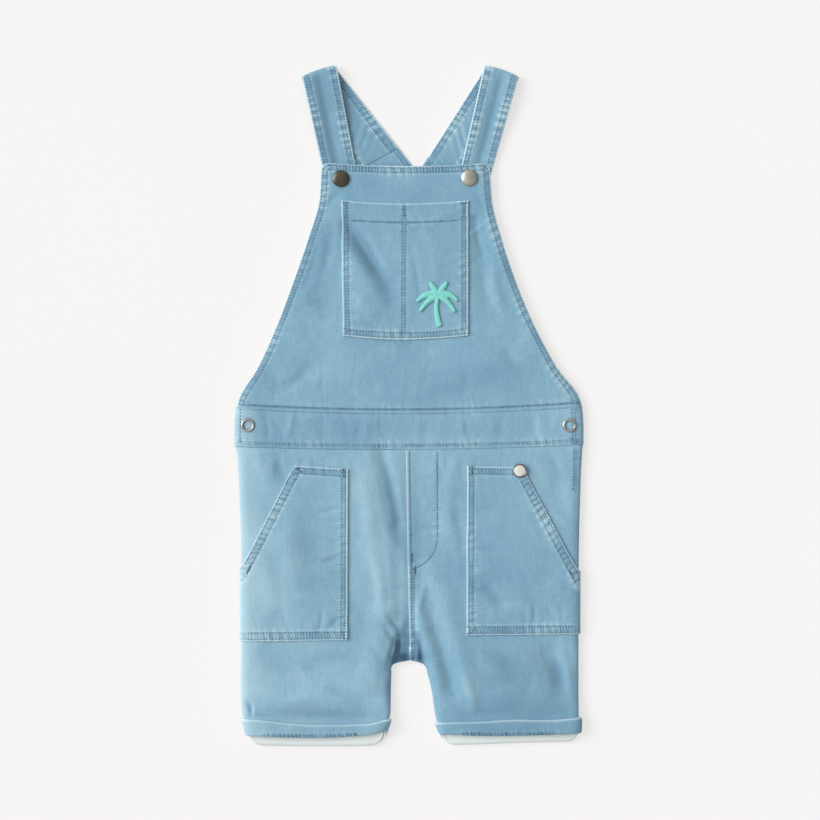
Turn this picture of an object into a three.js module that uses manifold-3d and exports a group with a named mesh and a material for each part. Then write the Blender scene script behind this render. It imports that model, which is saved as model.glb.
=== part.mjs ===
// Baby romper: short bib overalls in light blue stretch denim, laid flat on their back.
// Millimetres, +Z up. The front faces up, the straps point towards +Y, and the origin lies under
// the middle of the garment. Left and right are the viewer's, looking down on the front.
import * as THREE from "three";
import { mergeVertices } from "three/addons/utils/BufferGeometryUtils.js";
import Module from "manifold-3d";

// Walls and layers
const CLOTH = 1.2; // one layer of denim
const DOUBLE = 1.6; // two layers pressed together: waistband and straps
const CUFF = 2.0; // the turned-up band at the hem
const GAP = 0.3; // between pieces at a seam, and between a piece and what it lies on
const CUFF_OUT = CLOTH / 2 + GAP + CUFF / 2;
const LAID = CLOTH + GAP; // from a panel's middle to the middle of a layer laid on it

// Heights of the walls' middles above the surface that the garment lies on
const BACK_Z = CLOTH / 2;
const FRONT_Z = 5.4;
const SEAM_Z = 3.0; // where front and back meet at the sides
const BIB_EDGE_Z = 4.75; // the bib's free edge
const CROTCH_APART = (CLOTH + GAP) / 2; // each panel from the seam height, where the two lie stacked

// Places along the garment
const BIB_TOP = { middle: 172.2, ends: 174.8, half: 62 };
const WAIST_TOP = { middle: -4.2, ends: 0.2, tilt: 0.7 };
const WAIST_BOTTOM = { middle: -31.2, ends: -28.4, tilt: 0.7 };
const WAIST_HALF = 125;
const VALLEY_TOP = -157; // where the legs begin to part above the crotch
const CROTCH = -182.5;
const BACK_JOINS = -16; // from here down the back has the front's outline
const LEG_TUBE = -191; // below this the legs are two closed tubes
const CUFF_LINE = -222;
const HEM_FRONT = -237;
const HEM_BACK = -244.8;
const HEM_CORNER = 10; // the higher, the squarer the back hem's ends
const HEM_RISE = { from: -206, back: CUFF + GAP, seam: 1.95, front: 1.6 };

// Round edges
const SIDE_ROUND = { r: 6, steps: 4 };
const INSEAM_ROUND = { r: 6, steps: 4 };

// Lengths over which one form eases into the next
const BIB_FREES = 40; // the bib's sides leave the back above the waistband
const VALLEY_FADES = { front: 40, back: 20 }; // above the valley between the legs
const TUBE_CLOSES = 8; // where crotch turns into legs
const TOP_ROWS_BEND = { from: -110, over: 78 }; // a leg's rows take on the waistband seam's curve

// The front's outline: x of the left and right edge at each height
const FRONT_SIDES = [
  { y: 180, left: -62.7, right: 58.0 },
  { y: 150, left: -64.4, right: 59.6 },
  { y: 120, left: -72.9, right: 67.0 },
  { y: 90, left: -83.3, right: 77.0 },
  { y: 60, left: -94.6, right: 89.5 },
  { y: 30, left: -107.9, right: 105.2 },
  { y: 1, left: -123.4, right: 123.4 },
  { y: -16, left: -124.6, right: 124.6 },
  { y: -28, left: -124.6, right: 124.6 },
  { y: -32, left: -123.2, right: 124.0 },
  { y: -60, left: -121.4, right: 122.6 },
  { y: -110, left: -119.8, right: 121.4 },
  { y: -160, left: -119.6, right: 121.2 },
  { y: -200, left: -120.4, right: 121.2 },
  { y: -222, left: -118.8, right: 121.2 },
  { y: -230, left: -116.2, right: 121.4 },
  { y: -240, left: -113.8, right: 120.8 },
];

// The back's outline above the waistband: straps' arms, then the armholes
const BACK_SIDES = [
  { y: 172, left: -41.0, right: 38.0 },
  { y: 140, left: -47.0, right: 47.0 },
  { y: 100, left: -59.5, right: 61.0 },
  { y: 60, left: -78.0, right: 80.0 },
  { y: 30, left: -98.0, right: 98.5 },
  { y: 1, left: -122.6, right: 122.6 },
  { y: -16, left: -124.6, right: 124.6 },
];

// The centre seam, and the inner edge of each leg's panel below the crotch
const INNER_EDGES = [
  { y: -30, left: -2.2, right: -2.2 },
  { y: -125, left: -0.7, right: -0.7 },
  { y: -169, left: 0.5, right: 0.5 },
  { y: -182.5, left: 0.7, right: 0.7 },
  { y: -184.2, left: -5.6, right: 5.8 },
  { y: -187, left: -11.6, right: 10.8 },
  { y: -191, left: -13.2, right: 13.5 },
  { y: -205, left: -13.6, right: 17.0 },
  { y: -221, left: -13.8, right: 19.6 },
  { y: -230, left: -16.6, right: 22.6 },
  { y: -240, left: -20.0, right: 25.4 },
];

// Where each leg rounds down into the valley between the legs
const VALLEY_EDGES = [
  { y: -157, left: 0.0, right: 1.4 },
  { y: -168, left: -6.2, right: 4.6 },
  { y: -177, left: -10.0, right: 7.4 },
  { y: -185.4, left: -12.4, right: 10.6 },
  { y: -191, left: -13.2, right: 13.5 },
  { y: -205, left: -13.6, right: 17.0 },
  { y: -221, left: -13.8, right: 19.6 },
  { y: -230, left: -16.6, right: 22.6 },
  { y: -240, left: -20.0, right: 25.4 },
];

// Rows of a leg's panel: the height of the row's end at the side, and at the centre or inseam
const LEG_ROWS = [
  { outer: -29.6, inner: -32.0, steps: 3 },
  { outer: -80, inner: -82, steps: 4 },
  { outer: -140, inner: -146, steps: 2 },
  { outer: -160, inner: -172, steps: 1 },
  { outer: -168, inner: -182.5, steps: 1 },
  { outer: -174, inner: -184.2, steps: 1 },
  { outer: -181, inner: -187, steps: 1 },
  { outer: -191, inner: -191, steps: 2 },
  { outer: -208, inner: -208, steps: 2 },
  { outer: -222, inner: -222, steps: 1 },
  { outer: -225.4, inner: -225.4, steps: 2 },
  { outer: -237, inner: -237, steps: 0 },
];

// The front's largest folds: ridges where the rise is above 0, troughs where it is below
const FOLDS = [
  { name: "left leg drag line", x: -20, y: -34, toX: -9, toY: -86, width: 9, rise: -1.3 },
  { name: "left fly trough", x: -9, y: -86, toX: -5, toY: -150, width: 8, rise: -1.1 },
  { name: "left crotch roll", x: -19, y: -150, toX: -27, toY: -198, width: 14, rise: 1.5 },
  { name: "right crotch roll", x: 8, y: -148, toX: 23, toY: -198, width: 8, rise: 1.2 },
  { name: "right leg trough", x: 6, y: -112, toX: 32, toY: -206, width: 10, rise: -1.2 },
  { name: "right leg ridge", x: 27, y: -136, toX: 44, toY: -212, width: 11, rise: 1.0 },
  { name: "right leg dent", x: 99, y: -176, toX: 106, toY: -204, width: 13, rise: -1.2 },
  { name: "left pocket swell", x: -82, y: -96, toX: -64, toY: -140, width: 24, rise: 1.0 },
  { name: "right pocket swell", x: 74, y: -84, toX: 92, toY: -132, width: 24, rise: 1.0 },
  { name: "left hem roll", x: -96, y: -204, toX: -40, toY: -206, width: 14, rise: 0.9 },
  { name: "bib pocket drag", x: -42, y: 128, toX: -12, toY: 78, width: 10, rise: -1.1 },
  { name: "bib pocket swell", x: -40, y: 96, toX: -30, toY: 66, width: 13, rise: 1.2 },
  { name: "bib right trough", x: 50, y: 132, toX: 56, toY: 76, width: 9, rise: -1.0 },
  { name: "bib left swell", x: -74, y: 74, toX: -84, toY: 34, width: 18, rise: 1.0 },
  { name: "bib lower swell", x: 30, y: 26, toX: 78, toY: 34, width: 18, rise: 0.9 },
];

// Pockets
const BIB_POCKET = {
  left: -48.6,
  right: 42.6,
  top: 147.6,
  dip: -2.4, // the middle of the top edge, below its ends
  bottom: 50.6,
  sag: -3.0, // the middle of the bottom edge
  taper: 1.2,
};
const HIP_POCKETS = {
  left: {
    inner: { x: -43.6, top: -45.2, bottomX: -44.2, bottom: -168 },
    corner: { x: -81.4, y: -42.6 },
    slant: { x: -85.5, y: -48.4, end: -115.2 },
    bottom: -169,
  },
  right: {
    inner: { x: 41.8, top: -43, bottomX: 41.2, bottom: -164.6 },
    corner: { x: 81.6, y: -43.8 },
    slant: { x: 85, y: -50.4, end: -118.6 },
    bottom: -163.8,
  },
};
const POCKET_REACH = 140; // outlines run out past the side seams

// Straps: each edge runs from under the bib, over the shoulder, to the seam on the back
const STRAPS = {
  left: {
    front: { outer: [-58.4, 154], inner: [-34.8, 154] },
    shoulder: { outer: [-76.0, 233.2], inner: [-51.4, 241.6] },
    back: { outer: [-39.5, 168.0], inner: [-7.2, 185.8] },
  },
  right: {
    front: { outer: [55.4, 154], inner: [33.4, 154] },
    shoulder: { outer: [77.8, 233.2], inner: [53.4, 241.6] },
    back: { outer: [37.0, 166.0], inner: [13.7, 179.4] },
  },
};
const STRAP = {
  frontZ: 2.85, // under the bib
  backZ: DOUBLE / 2,
  foldR: 2.5,
  bow: 1.3, // the shoulder's edge bulges by this much in the middle
  dent: 0.6, // a soft trough down the front of each strap
  frontRows: 9,
  foldRows: 7,
  backRows: 6,
  columns: 4,
};
const ARM_GAP = 1.3 * GAP; // along y, because the strap seams slant
const NECK_V = { x: 6.6, y: 168.0 }; // the bottom of the V between the back's arms

// Metal fasteners
const CAP = { r: 6, h: 2.2, left: [-48.8, 163], right: [43.4, 163.6] };
const RING = { r: 5, hole: 3, h: 1.1, left: [-115.6, -13.8], right: [115.2, -13.8] };
const RIVET = { r: 5, h: 1.6, at: [79.3, -46.4] };
const ROUND_SIDES = 24;

// The palm on the bib pocket: fronds start at the crown and droop towards their tips
const PALM = { crown: [20.6, 78.6], foot: [22, 57], bend: 1.6, thick: 1.4 };
const FRONDS = [
  { angle: -8, length: 12.5, droop: 9.5, half: 1.8 },
  { angle: 33, length: 17, droop: 12.5, half: 2 },
  { angle: 62, length: 14.5, droop: 2.5, half: 1.9 },
  { angle: 113, length: 15, droop: 3.5, half: 1.9 },
  { angle: 148, length: 17.5, droop: 13, half: 2 },
  { angle: 188, length: 13, droop: 9, half: 1.8 },
];

const COLOURS = { denim: 0x86adc4, metal: 0x9c968a, dark: 0x5b5548, pearl: 0xdedcd0, mint: 0x7fe0c8 };

const { cos, sin, abs, min, max, sqrt, hypot, PI } = Math;
const clamp = (q) => min(max(q, 0), 1);
const mix = (a, b, q) => a + (b - a) * q;
const ease = (q) => clamp(q) ** 2 * (3 - 2 * clamp(q));
const round = (q) => sqrt(1 - (1 - clamp(q)) ** 2); // a quarter circle, steep at 0 and level at 1

// A table's column as a smooth function of y, which never overshoots the rows.
function column(rows, key) {
  const p = [...rows].sort((a, b) => a.y - b.y).map((row) => [row.y, row[key]]);
  const slope = p.slice(1).map((q, i) => (q[1] - p[i][1]) / (q[0] - p[i][0]));
  const tangent = p.map((_, i) => {
    const before = slope[i - 1] ?? slope[i];
    const after = slope[i] ?? slope[i - 1];
    return before * after <= 0 ? 0 : (2 * before * after) / (before + after);
  });
  return (y) => {
    const i = min(max(p.findIndex((q) => q[0] > y) - 1, 0), p.length - 2);
    const k = y >= p.at(-1)[0] ? p.length - 2 : i;
    const step = p[k + 1][0] - p[k][0];
    const q = clamp((y - p[k][0]) / step);
    const h = q * q * (3 - 2 * q);
    return (
      mix(p[k][1], p[k + 1][1], h) +
      step * (q * (1 - q) ** 2 * tangent[k] - q * q * (1 - q) * tangent[k + 1])
    );
  };
}

const pair = (rows) => ({ left: column(rows, "left"), right: column(rows, "right") });
const frontSide = pair(FRONT_SIDES);
const backRow = pair(BACK_SIDES);
const innerEdge = pair(INNER_EDGES);
const valleyEdge = pair(VALLEY_EDGES);
const backSide = {
  left: (y) => (y > BACK_JOINS ? backRow.left(y) : frontSide.left(y)),
  right: (y) => (y > BACK_JOINS ? backRow.right(y) : frontSide.right(y)),
};

// A waistband seam sags a little in the middle and tilts a little to one side.
const seamLine = (line) => (x) =>
  mix(line.middle, line.ends, (x / WAIST_HALF) ** 2) + (line.tilt * x) / WAIST_HALF;
const waistTop = seamLine(WAIST_TOP);
const waistBottom = seamLine(WAIST_BOTTOM);

const hemShare = (y) => ease((HEM_RISE.from - y) / (HEM_RISE.from - CUFF_LINE));
const seamHeight = (y) => SEAM_Z + HEM_RISE.seam * hemShare(y);

// One fold: full height along its line, easing to nothing at its width.
function foldHeight(fold, x, y) {
  const [dx, dy] = [fold.toX - fold.x, fold.toY - fold.y];
  const along = clamp(((x - fold.x) * dx + (y - fold.y) * dy) / (dx * dx + dy * dy));
  const away = hypot(x - fold.x - along * dx, y - fold.y - along * dy);
  return fold.rise * ease(1 - away / fold.width);
}

// How far a point is in from the edge between the legs, and what the edge's height is there.
function legEdge(x, y, sign) {
  const left = x < innerEdge.left(max(y, CROTCH));
  const away = left ? valleyEdge.left(y) - x : x - valleyEdge.right(y);
  const tube = ease((LEG_TUBE - y) / TUBE_CLOSES + 0.5);
  const apart = mix(CROTCH_APART, GAP / 2, ease((LEG_TUBE - y) / TUBE_CLOSES - 0.5));
  const q = away / INSEAM_ROUND.r;
  return { share: mix(ease(q), round(q), tube), base: seamHeight(y) + sign * apart };
}

// The middle of the front's wall above any point of the plan.
function frontHeight(x, y) {
  const level = FRONT_Z + HEM_RISE.front * hemShare(y);
  const free = ease((y - WAIST_TOP.ends) / BIB_FREES); // the bib's sides aren't sewn to the back
  const edge = mix(seamHeight(y) + GAP / 2, BIB_EDGE_Z, free);
  const q = min(x - frontSide.left(y), frontSide.right(y) - x) / SIDE_ROUND.r;
  const side = mix(round(q), ease(q), free);
  let z = mix(edge, level, side);
  let inner = 1;
  if (y < VALLEY_TOP + VALLEY_FADES.front) {
    const leg = legEdge(x, min(y, VALLEY_TOP), 1);
    inner = leg.share;
    const fade = ease((y - VALLEY_TOP) / VALLEY_FADES.front);
    z += (mix(leg.base, level, inner) - level) * (1 - fade);
    inner = mix(inner, 1, fade);
  }
  const folds = FOLDS.reduce((sum, fold) => sum + foldHeight(fold, x, y), 0);
  return z + folds * side * inner;
}

// The middle of the back's wall, which lies on the surface and rises to meet the front at the sides.
function backHeight(x, y) {
  const level = BACK_Z + HEM_RISE.back * hemShare(y);
  const edge = mix(seamHeight(y) - GAP / 2, BACK_Z, ease((y - WAIST_TOP.ends) / BIB_FREES));
  const q = min(x - backSide.left(y), backSide.right(y) - x) / SIDE_ROUND.r;
  let z = mix(edge, level, round(q));
  if (y < VALLEY_TOP + VALLEY_FADES.back) {
    const leg = legEdge(x, min(y, VALLEY_TOP), -1);
    z += (mix(leg.base, level, leg.share) - level) * (1 - ease((y - VALLEY_TOP) / VALLEY_FADES.back));
  }
  return z;
}

// A row's x positions from a to b: crowded where an edge rounds over, even between.
function across(a, b, left, right, middle) {
  const turn = (edge, i) => edge.r * (1 - cos(((i / edge.steps) * PI) / 2));
  const xs = [];
  for (let i = 0; i < left.steps; i++) xs.push(a + turn(left, i));
  for (let i = 0; i <= middle; i++) xs.push(mix(a + left.r, b - right.r, i / middle));
  for (let i = right.steps - 1; i >= 0; i--) xs.push(b - turn(right, i));
  return xs;
}

// The direction along a grid at each point, from the neighbours that it has.
function slopes(grid, i, j, along) {
  const at = (k) => (along ? grid[k][j] : grid[i][k]);
  const [k, last] = along ? [i, grid.length - 1] : [j, grid[0].length - 1];
  return new THREE.Vector3().subVectors(at(min(k + 1, last)), at(max(k - 1, 0)));
}

// At its edges a wall's rim stands upright where the cloth lies flat, and level where it rounds
// over, so that two pieces never lean into each other at a seam.
function normals(grid) {
  const [lastRow, lastColumn] = [grid.length - 1, grid[0].length - 1];
  return grid.map((row, i) =>
    row.map((_, j) => {
      const n = slopes(grid, i, j, false).cross(slopes(grid, i, j, true)).normalize();
      if (i === 0 || i === lastRow) n.y = 0;
      if (j === 0 || j === lastColumn) {
        if (abs(n.z) > abs(n.x)) n.x = 0;
        else n.z = 0;
      }
      return n.normalize();
    }),
  );
}

// A grid of points moved out along its normals.
function moved(grid, distance) {
  const n = normals(grid);
  return grid.map((row, i) => row.map((p, j) => p.clone().addScaledVector(n[i][j], distance)));
}

// Closes a grid of middle points into a wall of cloth.
function wall(grid, thickness) {
  const faces = [moved(grid, thickness / 2), moved(grid, -thickness / 2)];
  const [rows, columns] = [grid.length, grid[0].length];
  const position = faces.flat(2).flatMap((p) => [p.x, p.y, p.z]);
  const at = (side, i, j) => side * rows * columns + i * columns + j;
  const index = [];
  const quad = (a, b, c, d) => index.push(a, b, c, a, c, d);
  for (let i = 0; i < rows - 1; i++) {
    for (let j = 0; j < columns - 1; j++) {
      quad(at(0, i, j), at(0, i, j + 1), at(0, i + 1, j + 1), at(0, i + 1, j));
      quad(at(1, i, j), at(1, i + 1, j), at(1, i + 1, j + 1), at(1, i, j + 1));
    }
    quad(at(0, i + 1, 0), at(1, i + 1, 0), at(1, i, 0), at(0, i, 0));
    const end = columns - 1;
    quad(at(0, i, end), at(1, i, end), at(1, i + 1, end), at(0, i + 1, end));
  }
  for (let j = 0; j < columns - 1; j++) {
    const end = rows - 1;
    quad(at(0, 0, j), at(1, 0, j), at(1, 0, j + 1), at(0, 0, j + 1));
    quad(at(0, end, j + 1), at(1, end, j + 1), at(1, end, j), at(0, end, j));
  }
  const geometry = new THREE.BufferGeometry();
  geometry.setAttribute("position", new THREE.Float32BufferAttribute(position, 3));
  geometry.setIndex(index);
  geometry.computeVertexNormals();
  return geometry;
}

// Rows of plan points, each lifted onto a height; sampleY stands in for y where a hem's edge curves.
function lifted(rows, height) {
  return rows.map((row) =>
    row.map(({ x, y, sampleY = y }) => new THREE.Vector3(x, y, height(x, sampleY))),
  );
}

// The bib runs up from the waistband seam to a top edge with rounded corners.
function bibRows(side, top, corner, count, middle) {
  const highest = top.ends;
  return Array.from({ length: count + 1 }, (_, i) => {
    const v = i / count;
    const nominal = mix(WAIST_TOP.ends + GAP / 2, highest, v);
    const turn = max(0, corner - (highest - nominal));
    const inset = corner - sqrt(max(0, corner * corner - turn * turn));
    const [a, b] = [side.left(nominal) + inset, side.right(nominal) - inset];
    return across(a, b, SIDE_ROUND, SIDE_ROUND, middle).map((x) => {
      const seam = waistTop(x) + GAP / 2;
      const above = mix(top.middle, top.ends, min(1, (x / top.half) ** 2));
      return { x, y: mix(seam, above, v) };
    });
  });
}

function waistbandRows(side) {
  const rowCount = 3;
  return Array.from({ length: rowCount + 1 }, (_, i) => {
    const v = i / rowCount;
    const nominal = mix(WAIST_BOTTOM.ends + GAP / 2, WAIST_TOP.ends - GAP / 2, v);
    return across(side.left(nominal), side.right(nominal), SIDE_ROUND, SIDE_ROUND, 22).map(
      (x) => ({ x, y: mix(waistBottom(x) + GAP / 2, waistTop(x) - GAP / 2, v) }),
    );
  });
}

// The leg's hem at a share across the leg: almost straight in front, lower and rounder behind.
const hemLine = {
  front: (share) => HEM_FRONT - 1.2 * (1 - (2 * share - 1) ** 2),
  back: (share) => HEM_FRONT - 0.4 + (HEM_BACK - HEM_FRONT + 0.4) * (1 - (2 * share - 1) ** HEM_CORNER),
};

// A leg's plan, from the hem up to the waistband.
function legRows(which, hem, middle) {
  const left = which === "left";
  const stations = LEG_ROWS.slice(0, -1).flatMap((row, i) =>
    Array.from({ length: row.steps }, (_, k) => ({
      outer: mix(row.outer, LEG_ROWS[i + 1].outer, k / row.steps),
      inner: mix(row.inner, LEG_ROWS[i + 1].inner, k / row.steps),
    })),
  );
  stations.push(LEG_ROWS.at(-1));
  return stations.reverse().map(({ outer, inner }) => {
    const inside = innerEdge[which](inner) + (left ? -GAP / 2 : GAP / 2) * (inner >= CROTCH);
    const [a, b] = left ? [frontSide.left(outer), inside] : [inside, frontSide.right(outer)];
    const [ya, yb] = left ? [outer, inner] : [inner, outer];
    const edges = left ? [SIDE_ROUND, INSEAM_ROUND] : [INSEAM_ROUND, SIDE_ROUND];
    return across(a, b, ...edges, middle).map((x) => {
      const share = (x - a) / (b - a);
      const y = mix(ya, yb, share);
      if (y < CUFF_LINE)
        return { x, y: mix(CUFF_LINE, hem(share), (CUFF_LINE - y) / (CUFF_LINE - HEM_FRONT)), sampleY: y };
      const top = mix(LEG_ROWS[0].outer, LEG_ROWS[0].inner, left ? share : 1 - share);
      return { x, y: y + (waistBottom(x) - GAP / 2 - top) * ease((y - TOP_ROWS_BEND.from) / TOP_ROWS_BEND.over) };
    });
  });
}

// A band across the legs' panels is made from the first rows of their grids, which start at the hem.
const CUFF_ROWS = 3;
const cuffOf = (grid, out) => wall(moved(grid.slice(0, CUFF_ROWS), out), CUFF);

// Outlines of what is laid on a panel, counterclockwise
function bibPocketOutline() {
  const p = BIB_POCKET;
  const steps = 6;
  const bow = (q) => 4 * q * (1 - q);
  const lower = Array.from({ length: steps + 1 }, (_, i) => i / steps);
  return [
    ...lower.map((q) => [mix(p.left + p.taper, p.right, q), p.bottom + p.sag * bow(q)]),
    ...lower.map((q) => [mix(p.right, p.left, q), p.top + p.dip * bow(q)]),
  ];
}

// A hip pocket slants from its top corner to the side seam, into which its outer edge is sewn.
function hipPocketOutline(which) {
  const { inner, corner, slant, bottom } = HIP_POCKETS[which];
  const beyond = which === "left" ? -POCKET_REACH : POCKET_REACH;
  const points = [
    [inner.bottomX, inner.bottom],
    [inner.x, inner.top],
    [corner.x, corner.y],
    [slant.x, slant.y],
    [frontSide[which](slant.end), slant.end],
    [beyond, slant.end],
    [beyond, bottom],
  ];
  return which === "left" ? points : points.reverse();
}

// The back's two arms hold the strap seams, with the V of the neckline between them.
function backBibRows(count, middle) {
  const level = BACK_SIDES[0].y;
  const rows = bibRows(backSide, { middle: level, ends: level, half: 1 }, 0, count, middle);
  const [seamLeft, seamRight] = [STRAPS.left.back, STRAPS.right.back];
  const vee = (x) => {
    const inner = x < NECK_V.x ? seamLeft.inner : seamRight.inner;
    const outer = x < NECK_V.x ? seamLeft.outer : seamRight.outer;
    const up = (x - NECK_V.x) / (inner[0] - NECK_V.x);
    if (up < 1) return mix(NECK_V.y, inner[1], up) - GAP;
    return mix(inner[1], outer[1], (x - inner[0]) / (outer[0] - inner[0])) - ARM_GAP;
  };
  return rows.map((row, i) =>
    row.map(({ x, y }) => ({ x, y: y + (vee(x) - level) * (i / count) ** 4 })),
  );
}

// A strap is ruled between its two edges, each going up the front, over a fold, and down the back.
function strapGrid(ends) {
  const line = (from, to, q, z) => new THREE.Vector3(mix(from[0], to[0], q), mix(from[1], to[1], q), z);
  const topZ = STRAP.backZ + 2 * STRAP.foldR;
  const edge = (key, bow) => {
    const [front, shoulder, back] = [ends.front[key], ends.shoulder[key], ends.back[key]];
    const points = [];
    for (let i = 0; i < STRAP.frontRows; i++) {
      const q = i / STRAP.frontRows;
      points.push(line(front, shoulder, q, mix(STRAP.frontZ, topZ, ease((q - 0.3) / 0.62))));
    }
    const up = new THREE.Vector2(shoulder[0] - front[0], shoulder[1] - front[1]).normalize();
    const over = new THREE.Vector2(shoulder[0] - back[0], shoulder[1] - back[1]).normalize();
    for (let i = 0; i <= STRAP.foldRows; i++) {
      const turn = (i / STRAP.foldRows) * PI;
      const way = up.clone().lerp(over, i / STRAP.foldRows).normalize();
      const reach = (STRAP.foldR + bow) * sin(turn);
      const z = STRAP.backZ + STRAP.foldR * (1 + cos(turn));
      points.push(new THREE.Vector3(shoulder[0] + way.x * reach, shoulder[1] + way.y * reach, z));
    }
    for (let i = 1; i <= STRAP.backRows; i++)
      points.push(line(shoulder, back, i / STRAP.backRows, STRAP.backZ));
    return points;
  };
  const outer = edge("outer", 0);
  const inner = edge("inner", 0);
  const bowed = [edge("outer", STRAP.bow), edge("inner", STRAP.bow)];
  return outer.map((p, i) =>
    Array.from({ length: STRAP.columns + 1 }, (_, j) => {
      const w = j / STRAP.columns;
      const arch = 4 * w * (1 - w);
      const straight = p.clone().lerp(inner[i], w);
      const point = straight.lerp(bowed[0][i].clone().lerp(bowed[1][i], w), arch);
      const onFront = i > 2 && i < STRAP.frontRows ? 1 : 0;
      point.z -= STRAP.dent * arch * onFront * sin((i / STRAP.frontRows) * PI);
      return point;
    }),
  );
}

// Orders a strap's columns so that its grid turns the same way as the panels' grids.
const facingUp = (grid, mirrored) => (mirrored ? grid.map((row) => [...row].reverse()) : grid);

// Turned metal pieces, as profiles from the axis out and back
const capProfile = ({ r, h }) => [
  [0, 0],
  [r - 0.5, 0],
  [r, 0.5],
  [r - 0.15, 0.95],
  [r - 1.2, h - 0.55],
  [r - 3, h - 0.15],
  [0, h],
];
const rivetProfile = ({ r, h }) => [
  [0, 0],
  [r - 0.4, 0],
  [r, 0.5],
  [r - 0.2, h - 0.3],
  [r - 0.8, h - 0.1],
  [r - 1.2, h - 0.6],
  [r - 2.4, h - 0.1],
  [0, h],
];
const ringProfile = ({ r, hole, h }) => {
  const [middle, half] = [(r + hole) / 2, (r - hole) / 2];
  const arc = Array.from({ length: 7 }, (_, i) => {
    const turn = (i / 6) * PI;
    return [middle + half * cos(turn), h * (0.25 + 0.75 * sin(turn))];
  });
  return [[hole + 0.2, 0], [r - 0.2, 0], ...arc, [hole + 0.2, 0]];
};

// Turns a profile about +Z.
function turned(profile) {
  const points = profile.map(([r, z]) => new THREE.Vector2(r, z));
  return new THREE.LatheGeometry(points, ROUND_SIDES).rotateX(PI / 2);
}

const wasm = await Module();
wasm.setup();

function solidOf(geometry) {
  const bare = new THREE.BufferGeometry().setAttribute("position", geometry.getAttribute("position"));
  if (geometry.index) bare.setIndex(geometry.index);
  const merged = mergeVertices(bare, 1e-4);
  return new wasm.Manifold(
    new wasm.Mesh({
      numProp: 3,
      vertProperties: merged.attributes.position.array,
      triVerts: new Uint32Array(merged.index.array),
    }),
  );
}

function geometryOf(solid) {
  const mesh = solid.getMesh();
  const geometry = new THREE.BufferGeometry();
  geometry.setAttribute("position", new THREE.BufferAttribute(mesh.vertProperties, 3));
  geometry.setIndex(new THREE.BufferAttribute(mesh.triVerts, 1));
  return geometry;
}

// Keeps the part of a wall that stands inside an outline.
function cutTo(geometry, outline) {
  const shape = new THREE.Shape(outline.map(([x, y]) => new THREE.Vector2(x, y)));
  const prism = new THREE.ExtrudeGeometry(shape, { depth: 40, bevelEnabled: false });
  prism.translate(0, 0, -10);
  const kept = geometryOf(solidOf(geometry).intersect(solidOf(prism)));
  kept.computeVertexNormals();
  return kept;
}

// The height of a piece's upper face at a point of the plan, or nothing beside it.
function topOf(geometry) {
  const mesh = new THREE.Mesh(geometry, new THREE.MeshStandardMaterial());
  const down = new THREE.Vector3(0, 0, -1);
  return (x, y) =>
    new THREE.Raycaster(new THREE.Vector3(x, y, 60), down).intersectObject(mesh)[0]?.point.z;
}

// A rounded bar along a path, flat below, that narrows from one half width to another.
function bar(path, from, to, thick) {
  const [steps, sides] = [6, 6];
  const section = (i) => {
    const q = i / steps;
    const [p, ahead] = [path(q), path(q + 0.01)];
    const [dx, dy] = [ahead[0] - p[0], ahead[1] - p[1]];
    const [nx, ny] = [-dy / hypot(dx, dy), dx / hypot(dx, dy)];
    const half = mix(from, to, q);
    return Array.from({ length: sides + 1 }, (_, k) => {
      const turn = (k / sides) * PI;
      const out = half * cos(turn);
      return [p[0] + nx * out, p[1] + ny * out, thick * (0.3 + 0.7 * sin(turn)) * (k % sides ? 1 : 0)];
    });
  };
  const rings = Array.from({ length: steps + 1 }, (_, i) => section(i));
  const count = sides + 1;
  const index = [];
  for (let i = 0; i < steps; i++)
    for (let k = 0; k < count; k++) {
      const next = (k + 1) % count;
      const [a, b, c, d] = [i * count + k, i * count + next, (i + 1) * count + next, (i + 1) * count + k];
      index.push(a, b, c, a, c, d);
    }
  for (let k = 1; k < count - 1; k++) {
    index.push(0, k + 1, k);
    index.push(steps * count, steps * count + k, steps * count + k + 1);
  }
  const geometry = new THREE.BufferGeometry();
  geometry.setAttribute("position", new THREE.Float32BufferAttribute(rings.flat(2), 3));
  geometry.setIndex(index);
  return geometry;
}

// The palm, flat below, then bent onto the pocket that it is sewn to.
function palmGeometry(seat) {
  const [cx, cy] = PALM.crown;
  const frond = ({ angle, length, droop }) => (q) => {
    const turn = (angle * PI) / 180;
    return [cx + length * q * cos(turn), cy + length * q * sin(turn) - droop * q * q];
  };
  const trunk = (q) => [
    mix(cx, PALM.foot[0], q) - PALM.bend * sin(q * PI),
    mix(cy, PALM.foot[1], q),
  ];
  const bars = FRONDS.map((leaf) => bar(frond(leaf), leaf.half, leaf.half * 0.6, PALM.thick));
  bars.push(bar(trunk, 1.5, 2.3, PALM.thick));
  const joined = bars.map(solidOf).reduce((sum, solid) => sum.add(solid));
  const geometry = geometryOf(joined);
  const p = geometry.getAttribute("position");
  for (let i = 0; i < p.count; i++) p.setZ(i, p.getZ(i) + seat(p.getX(i), p.getY(i)));
  geometry.computeVertexNormals();
  return geometry;
}

const finish = {
  denim: { color: COLOURS.denim, roughness: 0.9, metalness: 0 },
  metal: { color: COLOURS.metal, roughness: 0.35, metalness: 1 },
  dark: { color: COLOURS.dark, roughness: 0.35, metalness: 1 },
  pearl: { color: COLOURS.pearl, roughness: 0.3, metalness: 0.4 },
  mint: { color: COLOURS.mint, roughness: 0.7, metalness: 0 },
};
const romper = new THREE.Group();

function piece(name, geometry, kind, at = [0, 0, 0]) {
  const mesh = new THREE.Mesh(geometry, new THREE.MeshStandardMaterial(finish[kind]));
  mesh.name = name;
  mesh.position.set(...at);
  romper.add(mesh);
}

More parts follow.
